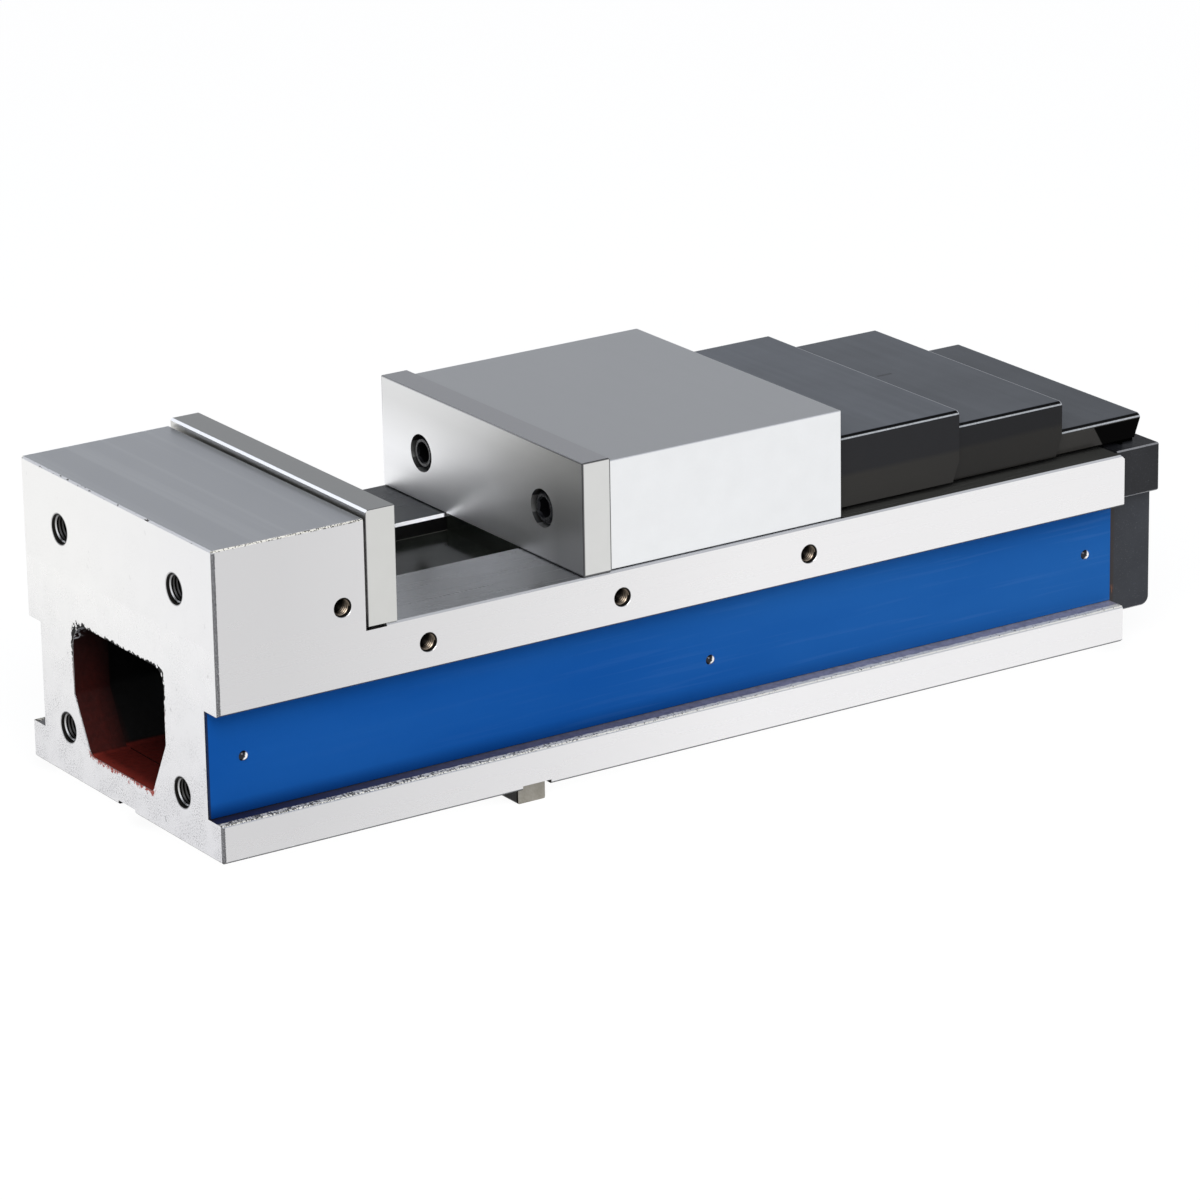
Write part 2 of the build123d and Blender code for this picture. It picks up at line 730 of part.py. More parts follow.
def middle_cover():
    cover = folded_cover(middle_front, middle_rear, middle_cover_width, middle_cover_top)
    return cover + front_flange(middle_front, middle_cover_width, middle_cover_top,
                                jaw_cover_width, jaw_cover_top)


def rear_cover_screw_places():
    return [number * rear_cover_screw_y for number in (-1, 0, 1)]


def rear_cover():
    """The fixed cover, with an end wall and a foot that is screwed down on the bracket."""
    cover = folded_cover(rear_cover_front, rear_cover_rear, rear_cover_width, rear_cover_top)
    cover += front_flange(rear_cover_front, rear_cover_width, rear_cover_top,
                          middle_cover_width, middle_cover_top)
    wall_width = rear_cover_width - 2 * cover_sheet
    wall_top = rear_cover_top - cover_sheet
    cover += bar(cover_foot_front, cover_foot_front + cover_sheet, wall_width, bed_height, wall_top)
    foot_width = wall_width - 2 * cover_bend
    cover += bar(cover_foot_front, cover_foot_front + cover_foot_length, foot_width,
                 bed_height, bed_height + cover_sheet)
    for y in rear_cover_screw_places():
        cover -= set_on(cover_foot_x, y, bed_height + cover_sheet, (0, 0, 1), clearance_hole(m5, cover_sheet))
    return cover


def rear_cover_screws():
    z = bed_height + cover_sheet + m5[2]
    screw = socket_screw(m5, cover_sheet + cover_screw_reach)
    return [set_on(cover_foot_x, y, z, (0, 0, 1), screw) for y in rear_cover_screw_places()]


# Movable jaw with its angle-lock nut

def lock_plane_x(z, shift):
    """Where the tilted bearing plane, moved along its normal by a shift, passes a height."""
    return lock_centre[0] + shift / lock_normal[0] - (z - lock_centre[1]) * math.tan(slope)


def movable_jaw():
    body = bar(block_front, block_rear, movable_block_width, slide_z, movable_top)
    body = chamfer(body.edges(), movable_edge_chamfer)
    tongue_x = block_front + tongue_front
    tongue_width = slot_width - 2 * tongue_gap
    body += bar(tongue_x, tongue_x + tongue_length, tongue_width, slide_z - tongue_depth, slide_z + 1)
    bottom = slide_z - tongue_depth - 1
    rear = block_rear - pocket_rear_wall
    pocket = [(lock_plane_x(pocket_top, -lock_proud), pocket_top), (rear, pocket_top), (rear, bottom),
              (lock_plane_x(bottom, -lock_proud), bottom)]
    body -= along_y(pocket, horn_width + 2 * pocket_side_gap)
    body -= Pos(lock_centre[0], 0, lock_centre[1]) * Sphere(lock_r + lock_gap)
    for side in (-1, 1):
        y = side * jaw_screw_y
        body -= set_on(block_front, y, screw_z, (-1, 0, 0), thread_hole(m12, jaw_screw_reach + screw_end_gap))
    for y, z in jaw_cover_screw_places():
        body -= set_on(block_rear, y, z, (1, 0, 0), thread_hole(m5, cover_screw_reach + screw_end_gap))
    for y in guard_screw_places():
        x = block_front + guard_screw_x
        body -= set_on(x, y, slide_z, (0, 0, -1), thread_hole(m5, cover_screw_reach + screw_end_gap))
    return body - rod(rear - 1, block_rear, set_screw_r + thread_gap, z=set_screw_z)


def jaw_nut():
    """The nut under the bed: wings below the rails and a horn that leans over the lock segment."""
    x0 = block_front + nut_front
    x1 = x0 + nut_length
    top = ledge_z - nut_top_gap
    nut = bar(x0, x1, nut_width, nut_bottom, top)
    lower = pick(nut, Axis.X, lambda c: near(c.Z, nut_bottom))
    nut = chamfer(lower, nut_chamfer)
    nut += bar(x0, x1, nut_wing_width, top - nut_wing_height, top)
    rear = block_front + horn_rear
    horn = [(lock_plane_x(horn_top, 0), horn_top), (rear, horn_top), (rear, top - 1),
            (lock_plane_x(top - 1, 0), top - 1)]
    nut += along_y(horn, horn_width)
    return nut - rod(x0 - 1, x1 + 1, thread_r + running_gap)


def angle_lock_segment():
    """The half ball that turns the nut's pull into a downward pull on the jaw."""
    ball = Pos(lock_centre[0], 0, lock_centre[1]) * Sphere(lock_r)
    plane = Plane(origin=(lock_centre[0], 0, lock_centre[1]), z_dir=(lock_normal[0], 0, lock_normal[1]))
    return split(ball, bisect_by=plane, keep=Keep.BOTTOM)


def jaw_set_screw():
    """The set screw that takes up the play behind the nut's horn."""
    x0 = block_front + horn_rear
    x1 = block_rear - set_screw_inset
    screw = rod(x0, x1, set_screw_r, z=set_screw_z)
    socket = extrude(RegularPolygon(set_screw_af / 2, 6, major_radius=False), amount=-set_screw_socket)
    return screw - set_on(x1, 0, set_screw_z, (1, 0, 0), socket)


def guard_screw_places():
    return [side * guard_screw_spread / 2 for side in (-1, 1)]


def front_chip_guard():
    """A sheet that closes the slot in front of the jaw and folds up under it."""
    width = slot_width - 2 * guard_side_gap
    x0 = movable_jaw_x - guard_length
    low = guard_top - guard_sheet
    foot_x = block_front + tongue_front - guard_foot_gap
    guard = bar(x0, movable_jaw_x + guard_sheet, width, low, guard_top)
    guard += bar(movable_jaw_x, movable_jaw_x + guard_sheet, width, low, slide_z)
    guard += bar(movable_jaw_x, foot_x, width, slide_z - guard_sheet, slide_z)
    x = block_front + guard_screw_x
    for y in guard_screw_places():
        guard -= set_on(x, y, slide_z - guard_sheet, (0, 0, -1), clearance_hole(m5, guard_sheet))
    return guard


def chip_guard_screws():
    x = block_front + guard_screw_x
    z = slide_z - guard_sheet - m5[2]
    length = guard_sheet + cover_screw_reach
    return [set_on(x, y, z, (0, 0, -1), socket_screw(m5, length)) for y in guard_screw_places()]


# Spindle

def spindle_screw():
    """The threaded spindle, with a neck and a head inside the booster."""
    screw = rod(thread_front, thread_rear, thread_r)
    ends = screw.edges().filter_by(GeomType.CIRCLE)
    screw = chamfer(ends, thread_lead_in)
    screw += rod(thread_rear - 1, spindle_head_x + 1, neck_r)
    return screw + rod(spindle_head_x, spring_front, booster_bore_r - piston_gap)


def booster_housing():
    housing = rod(booster_front, booster_rear, booster_r)
    housing = chamfer(housing.edges().filter_by(GeomType.CIRCLE), booster_chamfer)
    housing -= rod(booster_front, booster_rear, neck_r + neck_gap)
    return housing - rod(booster_front + booster_wall, booster_rear, booster_bore_r)


def booster_springs():
    """A stack of disc springs, each one turned against the next."""
    springs = []
    cone = spring_pitch - spring_sheet
    inner = piston_stem_r + spring_hole_gap
    outer = booster_bore_r - 2 * piston_gap - spring_hole_gap
    for number in range(spring_count):
        x0 = spring_front + number * spring_pitch
        first, second = (cone, 0) if number % 2 else (0, cone)
        outline = Polyline((inner, first), (outer, second), (outer, second + spring_sheet),
                           (inner, first + spring_sheet), close=True)
        disc = revolve(make_face(Plane.XZ * outline), Axis.Z)
        springs.append(set_on(x0, 0, spindle_z, (1, 0, 0), disc))
    return springs


def booster_piston():
    piston = rod(spring_rear, piston_rear, booster_bore_r - piston_gap)
    piston += rod(spring_front + 1, spring_rear + 1, piston_stem_r)
    return piston - rod(piston_rear - nose_length, piston_rear, nose_r + neck_gap)


def booster_cap():
    """The threaded cap that closes the booster behind the drive shaft's flange."""
    cap = rod(drive_flange_rear, booster_rear + 1, booster_bore_r - running_gap)
    cap += rod(booster_rear, booster_rear + cap_flange_length, booster_r)
    hole = rod(drive_flange_rear, booster_rear + cap_flange_length, journal_r + neck_gap)
    return cap - hole


def drive_shaft():
    """The shaft between the booster and the hexagon that takes the handle."""
    shaft = rod(piston_rear - nose_length + 1, piston_rear + 1, nose_r)
    shaft += rod(piston_rear, drive_flange_rear, booster_bore_r - piston_gap)
    shaft += rod(drive_flange_rear - 1, lock_nut_rear, journal_r)
    hexagon = extrude(RegularPolygon(hex_across_flats / 2, 6, major_radius=False), amount=hex_length + 1)
    hexagon = chamfer(hexagon.faces().sort_by(Axis.Z)[-1].edges(), hex_chamfer)
    return shaft + set_on(lock_nut_rear - 1, 0, spindle_z, (1, 0, 0), hexagon)


def ring(x0, x1, outer):
    """A ring on the drive shaft's journal."""
    return rod(x0, x1, outer) - rod(x0, x1, journal_r)


def thrust_collar():
    collar = ring(collar_front, collar_rear, collar_r)
    return chamfer(collar.edges().filter_by(GeomType.CIRCLE), ring_chamfer)


def inner_thrust_washer():
    return ring(collar_rear, collar_rear + thrust_washer, collar_r)


def needle_middle():
    return collar_rear + thrust_washer + bearing_gap + needle_r


def needle_stations():
    """The middle of each needle, as its angle and its radius from the spindle."""
    radius = journal_r + needle_inset + needle_length / 2
    return [(360 * number / needle_count, radius) for number in range(needle_count)]


def needle(angle, radius, grow):
    middle = Pos(needle_middle(), 0, spindle_z) * Rot(angle, 0, 0) * Pos(0, 0, radius)
    return middle * Cylinder(needle_r + grow, needle_length + 2 * grow)


def thrust_needles():
    return [needle(angle, radius, 0) for angle, radius in needle_stations()]


def thrust_cage():
    half = cage_share * needle_r
    x = needle_middle()
    cage = rod(x - half, x + half, collar_r) - rod(x - half, x + half, journal_r + running_gap)
    return cage - [needle(angle, radius, needle_gap) for angle, radius in needle_stations()]


def outer_thrust_washer():
    return rod(base_length - thrust_washer, base_length, collar_r) - rod(
        base_length - thrust_washer, base_length, journal_r + running_gap)


def rear_thrust_washer():
    return ring(washer_front, washer_rear, rear_washer_r)


def spindle_lock_nut():
    nut = ring(washer_rear, lock_nut_rear, lock_nut_r)
    nut = chamfer(nut.edges().filter_by(GeomType.CIRCLE), ring_chamfer)
    for number in range(lock_nut_slots):
        turn = Pos(0, 0, spindle_z) * Rot(360 * number / lock_nut_slots, 0, 0)
        notch = block(washer_rear, lock_nut_rear, -lock_nut_slot / 2, lock_nut_slot / 2,
                      lock_nut_r - lock_nut_slot_depth, lock_nut_r + 1)
        nut -= turn * notch
    return nut


def pieces():
    """Every piece of the vise, by its name."""
    return {
        "base_casting": base_casting(),
        "fixed_jaw_plate": jaw_plate(seat_x, 1),
        "fixed_jaw_screws": jaw_screws(fixed_jaw_x, 1),
        "side_plate": side_plate(),
        "side_plate_rivets": side_plate_rivets(),
        "guide_key_near": guide_key(-1),
        "guide_key_far": guide_key(1),
        "guide_key_screws": guide_key_screws(),
        "rear_bracket": rear_bracket(),
        "rear_bracket_screws": rear_bracket_screws(),
        "rear_bracket_dowels": rear_bracket_dowels(),
        "spindle_bush": spindle_bush(),
        "rear_cover": rear_cover(),
        "rear_cover_screws": rear_cover_screws(),
        "outer_thrust_washer": outer_thrust_washer(),
        "middle_cover": middle_cover(),
        "middle_cover_wiper": wiper(middle_rear, middle_cover_width, middle_cover_top,
                                    rear_cover_width, rear_cover_top),
        "movable_jaw": movable_jaw(),
        "movable_jaw_plate": jaw_plate(movable_jaw_x, -1),
        "movable_jaw_screws": jaw_screws(movable_jaw_x, -1),
        "jaw_nut": jaw_nut(),
        "angle_lock_segment": angle_lock_segment(),
        "jaw_set_screw": jaw_set_screw(),
        "front_chip_guard": front_chip_guard(),
        "chip_guard_screws": chip_guard_screws(),
        "jaw_cover": jaw_cover(),
        "jaw_cover_wiper": wiper(jaw_cover_rear, jaw_cover_width, jaw_cover_top,
                                 middle_cover_width, middle_cover_top),
        "jaw_cover_screws": jaw_cover_screws(),
        "spindle_screw": spindle_screw(),
        "booster_housing": booster_housing(),
        "booster_springs": booster_springs(),
        "booster_piston": booster_piston(),
        "booster_cap": booster_cap(),
        "drive_shaft": drive_shaft(),
        "thrust_collar": thrust_collar(),
        "inner_thrust_washer": inner_thrust_washer(),
        "thrust_needles": thrust_needles(),
        "thrust_cage": thrust_cage(),
        "rear_thrust_washer": rear_thrust_washer(),
        "spindle_lock_nut": spindle_lock_nut(),
    }


def write(made):
    """Move each piece to the finished frame and write it to its own file."""
    os.makedirs("parts", exist_ok=True)
    to_frame = Pos(-overall_length / 2, 0, key_drop)
    for name, shape in made.items():
        solids = shape if isinstance(shape, list) else [shape]
        moved = [to_frame * solid for one in solids for solid in one.solids()]
        export_step(Compound(children=moved) if len(moved) > 1 else moved[0], f"parts/{name}.step")


if __name__ == "__main__":
    write(pieces())
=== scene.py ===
import math

import bpy
from mathutils import Matrix, Vector


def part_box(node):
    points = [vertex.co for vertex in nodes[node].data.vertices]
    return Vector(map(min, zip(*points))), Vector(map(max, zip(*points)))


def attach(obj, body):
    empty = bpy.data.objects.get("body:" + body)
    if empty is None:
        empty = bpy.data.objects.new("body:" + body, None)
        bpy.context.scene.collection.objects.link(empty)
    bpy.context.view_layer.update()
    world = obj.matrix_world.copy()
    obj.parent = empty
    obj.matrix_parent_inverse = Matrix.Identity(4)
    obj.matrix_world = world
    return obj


# Looks of a precision machine vise. All sizes here are in metres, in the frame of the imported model:
# +X runs from the fixed jaw to the drive end, -Y is the near side and +Z is up.

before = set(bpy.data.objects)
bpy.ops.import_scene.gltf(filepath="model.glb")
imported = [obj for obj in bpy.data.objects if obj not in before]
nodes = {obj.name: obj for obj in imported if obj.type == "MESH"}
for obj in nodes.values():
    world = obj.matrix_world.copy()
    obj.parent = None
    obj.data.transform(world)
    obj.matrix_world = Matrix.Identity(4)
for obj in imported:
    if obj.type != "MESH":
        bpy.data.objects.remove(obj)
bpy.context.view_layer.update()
MM = 0.001

# Places on the vise, taken from the frame
base_low, base_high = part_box("base_casting")
END = base_low.x
REAR = base_high.x
UNDERSIDE = base_low.z
BLOCK_TOP = base_high.z
HALF_WIDTH = base_high.y
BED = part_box("rear_bracket")[1].z
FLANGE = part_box("side_plate")[0].z
RAIL_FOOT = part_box("side_plate")[1].z
WEB = -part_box("side_plate")[1].y
JAW_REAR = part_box("movable_jaw")[1].x

# Tapped holes: places on the end face as (y, z) and on each side as (x, z), from the base's own corner
END_HOLES = [(side * 60.3 * MM, UNDERSIDE + height * MM) for side in (-1, 1) for height in (27.7, 138.5)]
END_HOLE_R = 8 * MM
END_HOLE_DEPTH = 29 * MM
SIDE_HOLES = [(END + run * MM, UNDERSIDE + height * MM)
              for run, height in ((76, 123.8), (127, 94.6), (248, 94.6), (369, 94.6))]
SIDE_HOLE_R = 5 * MM
SIDE_HOLE_DEPTH = 19 * MM

# Colours, as linear values
STEEL = (0.80, 0.795, 0.795)
HARD_STEEL = (0.68, 0.68, 0.665)
# a painted highlight for bevels and edges
PAINTED_EDGE_HIGHLIGHT = (0.90, 0.90, 0.91)
# painted shade for thin edge lines
PAINTED_EDGE_SHADE = (0.06, 0.06, 0.065)
PIT_DARK = (0.022, 0.019, 0.017)
# a painted highlight on the block's top edges, and the colour of the flange's light band
EDGE_HIGHLIGHT_AND_BAND = (0.82, 0.79, 0.70)
PRIMER = (0.125, 0.0135, 0.0095)
SMEAR_RED = (0.34, 0.045, 0.03)
SOOT = (0.003, 0.003, 0.003)
# painted dark reflection on the covers
DARK_REFLECTION_BLACK = (0.0015, 0.0015, 0.0015)
# painted shade for holes, keyways and the keys' hidden faces
PAINTED_SHADE_BLACK = (0.010, 0.009, 0.008)


# Node trees

class Nodes:
    """A node tree with a short method for each kind of node."""

    def __init__(self, tree):
        self.tree = tree

    def put(self, value, socket):
        if isinstance(value, bpy.types.NodeSocket):
            self.tree.links.new(value, socket)
        elif isinstance(value, (tuple, list)) and socket.type == "RGBA":
            socket.default_value = (*value, 1.0)
        else:
            socket.default_value = value

    def split(self, vector):
        node = self.tree.nodes.new("ShaderNodeSeparateXYZ")
        self.put(vector, node.inputs[0])
        return node.outputs

    def math(self, operation, a, b=0.0, c=0.0):
        node = self.tree.nodes.new("ShaderNodeMath")
        node.operation = operation
        for value, socket in zip((a, b, c), node.inputs):
            self.put(value, socket)
        return node.outputs[0]

    def fold(self, operation, values):
        total = values[0]
        for value in values[1:]:
            total = self.math(operation, total, value)
        return total

    def add(self, *values):
        return self.fold("ADD", values)

    def less(self, value, part):
        return self.math("SUBTRACT", value, part)

    def times(self, *values):
        return self.fold("MULTIPLY", values)

    def most(self, *values):
        return self.fold("MAXIMUM", values)

    def least(self, *values):
        return self.fold("MINIMUM", values)

    def away(self, value):
        return self.less(1.0, value)

    def size(self, value):
        return self.math("ABSOLUTE", value)

    def span(self, value, start, stop, low=0.0, high=1.0):
        """Maps start..stop to low..high, and holds it beyond."""
        node = self.tree.nodes.new("ShaderNodeMapRange")
        for given, socket in zip((value, start, stop, low, high), node.inputs):
            self.put(given, socket)
        return node.outputs[0]

    def course(self, value, *points):
        """A line through (value, result) points, level before the first and after the last."""
        total = points[0][1]
        for (start, low), (stop, high) in zip(points, points[1:]):
            total = self.add(total, self.span(value, start, stop, 0.0, high - low))
        return total

    def above(self, value, edge, soft=0.2 * MM):
        return self.span(self.less(value, edge), -soft, soft)

    def below(self, value, edge, soft=0.2 * MM):
        return self.span(self.less(value, edge), -soft, soft, 1.0, 0.0)

    def near(self, value, target, reach, soft=0.2 * MM):
        """One where a value lies within a reach of a target."""
        return self.below(self.size(self.add(value, -target)), reach, soft)

    def blend(self, share, a, b):
        """From one number to another."""
        return self.add(self.times(self.away(share), a), self.times(share, b))

    def mix(self, share, a, b):
        """From one colour to another."""
        node = self.tree.nodes.new("ShaderNodeMix")
        node.data_type = "RGBA"
        self.put(share, node.inputs[0])
        self.put(a, node.inputs[6])
        self.put(b, node.inputs[7])
        return node.outputs[2]

    def seen(self, *kinds):
        """One for the kinds of ray that show a background."""
        path = self.tree.nodes.new("ShaderNodeLightPath")
        return self.most(*[path.outputs[kind] for kind in kinds])

    def mix_shaders(self, share, first, second):
        node = self.tree.nodes.new("ShaderNodeMixShader")
        self.put(share, node.inputs[0])
        self.put(first, node.inputs[1])
        self.put(second, node.inputs[2])
        return node.outputs[0]


class Look(Nodes):
    """A material, placed by the vise's own coordinates."""

    def __init__(self, name, roughness=0.5, metallic=0.0, specular=0.5):
        self.material = bpy.data.materials.new(name)
        self.material.use_nodes = True
        super().__init__(self.material.node_tree)
        self.shader = self.tree.nodes["Principled BSDF"]
        self.shader.inputs["Roughness"].default_value = roughness
        self.shader.inputs["Metallic"].default_value = metallic
        self.shader.inputs["Specular IOR Level"].default_value = specular
        place = self.tree.nodes.new("ShaderNodeTexCoord")
        self.place = place.outputs["Object"]
        self.x, self.y, self.z = self.split(self.place)
        self.nx, self.ny, self.nz = self.split(place.outputs["Normal"])

    def noise(self, size, detail=2.0, stretch=(1, 1, 1), roughness=0.5, seed=0.0):
        """Noise with features of a size in metres, stretched along an axis by a factor."""
        scaled = self.tree.nodes.new("ShaderNodeMapping")
        self.put(self.place, scaled.inputs["Vector"])
        scaled.inputs["Location"].default_value = (seed, seed * 0.7, seed * 1.3)
        scaled.inputs["Scale"].default_value = [1 / (size * factor) for factor in stretch]
        node = self.tree.nodes.new("ShaderNodeTexNoise")
        self.put(scaled.outputs[0], node.inputs["Vector"])
        node.inputs["Scale"].default_value = 1.0
        node.inputs["Detail"].default_value = detail
        node.inputs["Roughness"].default_value = roughness
        return node.outputs["Fac"]

    def specks(self, size, amount, stretch=(1, 1, 1), seed=0.0):
        """Small sharp spots: the higher the amount, the rarer they are."""
        return self.above(self.noise(size, 3.0, stretch, 0.6, seed), amount, 0.012)

    def bump(self, height, distance, under=None):
        node = self.tree.nodes.new("ShaderNodeBump")
        node.inputs["Distance"].default_value = distance
        self.put(height, node.inputs["Height"])
        if under is not None:
            self.put(under, node.inputs["Normal"])
        return node.outputs[0]

    def finish(self, colour, roughness, normal, metallic=None):
        self.put(colour, self.shader.inputs["Base Color"])
        self.put(roughness, self.shader.inputs["Roughness"])
        self.put(normal, self.shader.inputs["Normal"])
        if metallic is not None:
            self.put(metallic, self.shader.inputs["Metallic"])
        return self.material


def shade(value, low, high):
    """The two ends of a colour's variation."""
    return tuple(low * part for part in value), tuple(high * part for part in value)


def lines(look, along, size, seed=0.0):
    """Fine lines left by a grinding wheel along one axis of the vise."""
    stretch = {"x": (160, 1, 1), "y": (1, 160, 1), "z": (1, 1, 160)}[along]
    return look.noise(size, 3.0, stretch, seed=seed)


def ground(look, tint, rough, along, seed=0.0):
    """Colour, roughness and bump height of a ground metal face."""
    fine = lines(look, along, 0.8 * MM, seed)
    wide = lines(look, along, 12 * MM, seed + 3)
    cloud = look.noise(45 * MM, 3.0, seed=seed + 5)
    level = look.add(look.times(fine, 0.20), look.times(wide, 0.50), look.times(cloud, 0.30))
    colour = look.mix(look.span(level, 0.32, 0.68), *shade(tint, 0.975, 1.025))
    roughness = look.span(level, 0.3, 0.7, rough - 0.04, rough + 0.05)
    return colour, roughness, fine


def box_edges(look, node, width):
    """One along the edges of a piece's box, where two of its faces are near."""
    low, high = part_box(node)
    gaps = [look.least(look.size(look.add(value, -a)), look.size(look.add(value, -b)))
            for value, a, b in zip((look.x, look.y, look.z), low, high)]
    second = look.most(look.least(gaps[0], gaps[1]), look.least(look.most(gaps[0], gaps[1]), gaps[2]))
    return look.below(second, width, 0.08 * MM)


def edges(look):
    """One on chamfers, which face between two axes."""
    return look.below(look.most(look.size(look.nx), look.size(look.ny), look.size(look.nz)), 0.9, 0.02)


def facing(look, part):
    """One where a face looks straight along an axis, given one part of its normal."""
    return look.above(part, 0.9, 0.02)


# Materials

def ground_steel(name, tint, rough, along, seed=0.0, handled=False):
    """Fine-ground steel: its sharp edges carry thin dark lines of painted shade, its wide bevel a painted
    highlight.
    """
    look = Look(name, metallic=1.0)
    colour, roughness, fine = ground(look, tint, rough, along, seed)
    edge = edges(look)
    # painted shade on the sharp edges and a painted highlight on the wide bevel
    colour = look.mix(look.times(edge, 0.8), colour, PAINTED_EDGE_SHADE)
    bevel = look.times(edge, look.below(look.nx, -0.4, 0.05), look.above(look.nz, 0.4, 0.05))
    colour = look.mix(bevel, colour, PAINTED_EDGE_HIGHLIGHT)
    roughness = look.blend(bevel, roughness, 0.20)
    colour = look.mix(look.times(look.specks(1.1 * MM, 0.79, seed=seed + 9), 0.4), colour, (0.28, 0.27, 0.25))
    if handled:
        # painted shade along the plate's edges
        colour = look.mix(look.times(box_edges(look, "movable_jaw_plate", 0.8 * MM), 0.85), colour, PAINTED_EDGE_SHADE)
        # painted shade darkens the gripping face low down at its near end, and a painted highlight lightens
        # it elsewhere; the top face is painted lighter
        face = facing(look, look.times(look.nx, -1.0))
        low = look.span(look.z, BED, BED + 55 * MM, 1.0, 0.0)
        near = look.span(look.y, -5 * MM, -75 * MM)
        colour = look.mix(look.times(face, near, low, 0.7), colour, (0.28, 0.28, 0.29))
        face_highlight = look.times(face, look.away(near), look.span(look.z, BED + 52 * MM, BED + 25 * MM, 0.45, 1.0))
        colour = look.mix(face_highlight, colour, (0.98, 0.985, 1.0))
        colour = look.mix(look.times(facing(look, look.nz), 0.8), colour, (0.80, 0.80, 0.82))
    return look.finish(colour, roughness, look.bump(fine, 0.0002 * MM))


def movable_jaw_steel():
    """The jaw's ground block: its near edge is a thin light line, a painted highlight."""
    look = Look("ground movable jaw", metallic=1.0)
    colour, roughness, fine = ground(look, (0.83, 0.84, 0.85), 0.33, "y", 6.0)
    # a painted highlight on the edges
    colour = look.mix(look.times(edges(look), 0.35), colour, PAINTED_EDGE_HIGHLIGHT)
    colour = look.mix(look.times(look.specks(1.2 * MM, 0.80, seed=15.0), 0.45), colour, (0.30, 0.29, 0.27))
    return look.finish(colour, roughness, look.bump(fine, 0.0002 * MM))


def window_distance(look):
    """How far a point of the end face lies outside the cast window, from the window's own outline."""
    far_side, near_side = 52 * MM, -45 * MM
    top, knee, bottom = (UNDERSIDE + height * MM for height in (90.2, 49.0, 18.8))
    taper = 15.5 * MM
    slant = math.hypot(knee - bottom, taper)
    steep, flat = (knee - bottom) / slant, taper / slant
    up = look.add(look.z, -top)
    right = look.add(look.y, -far_side)
    left = look.less(near_side, look.y)
    down = look.less(bottom, look.z)
    lower = look.less(knee, look.z)
    far_slope = look.add(look.times(right, steep), look.times(lower, flat))
    near_slope = look.add(look.times(left, steep), look.times(lower, flat))
    far_corner = look.math("SMOOTH_MAX", up, right, 19 * MM)
    near_corner = look.math("SMOOTH_MAX", up, left, 11 * MM)
    foot = look.math("SMOOTH_MAX", far_slope, down, 5 * MM)
    return look.most(far_corner, near_corner, foot, near_slope)


def from_axis(look, across, place):
    """Distance from a hole's axis, in the plane across it."""
    squares = [look.math("POWER", look.add(value, -middle), 2.0) for value, middle in zip(across, place)]
    return look.math("SQRT", look.add(*squares))


def to_holes(look):
    """Distance from the nearest tapped hole's axis, for the end face's holes and for the sides' holes."""
    to_end = [from_axis(look, (look.size(look.y), look.z), (abs(y), z)) for y, z in END_HOLES[:2]]
    to_side = [from_axis(look, (look.x, look.z), place) for place in SIDE_HOLES]
    return look.least(*to_end), look.least(*to_side)


def in_holes(look, to_end, to_side):
    """One on the walls of the tapped holes."""
    end = look.times(look.below(to_end, END_HOLE_R + 0.5 * MM, 0.1 * MM),
                     look.above(look.x, END + 0.12 * MM, 0.06 * MM), look.below(look.x, END + 40 * MM))
    side = look.times(look.below(to_side, SIDE_HOLE_R + 0.3 * MM, 0.1 * MM),
                      look.below(look.size(look.y), HALF_WIDTH - 0.08 * MM, 0.04 * MM),
                      look.above(look.size(look.y), HALF_WIDTH - 25 * MM))
    return look.most(end, side)


def cast_inside(look):
    """One in the cast spaces of the base: the window, the chamber and the slot between the rails."""
    across = look.size(look.y)
    window = look.times(look.above(look.x, END + 0.4 * MM, 0.1 * MM), look.below(across, 58.5 * MM),
                        look.above(look.z, UNDERSIDE + 12 * MM), look.below(look.z, UNDERSIDE + 95 * MM))
    chamber = look.times(look.above(look.x, END + 15 * MM), look.below(look.x, REAR - 0.4 * MM),
                         look.below(across, WEB - 3 * MM), look.above(look.z, UNDERSIDE + 3.5 * MM),
                         look.below(look.z, BED - 13 * MM))
    slot = look.times(look.above(look.x, END + 15 * MM), look.below(across, 36.2 * MM),
                      look.above(look.z, UNDERSIDE + 12 * MM), look.below(look.z, BED - 1.6 * MM, 0.05 * MM))
    return look.most(window, chamber, slot)


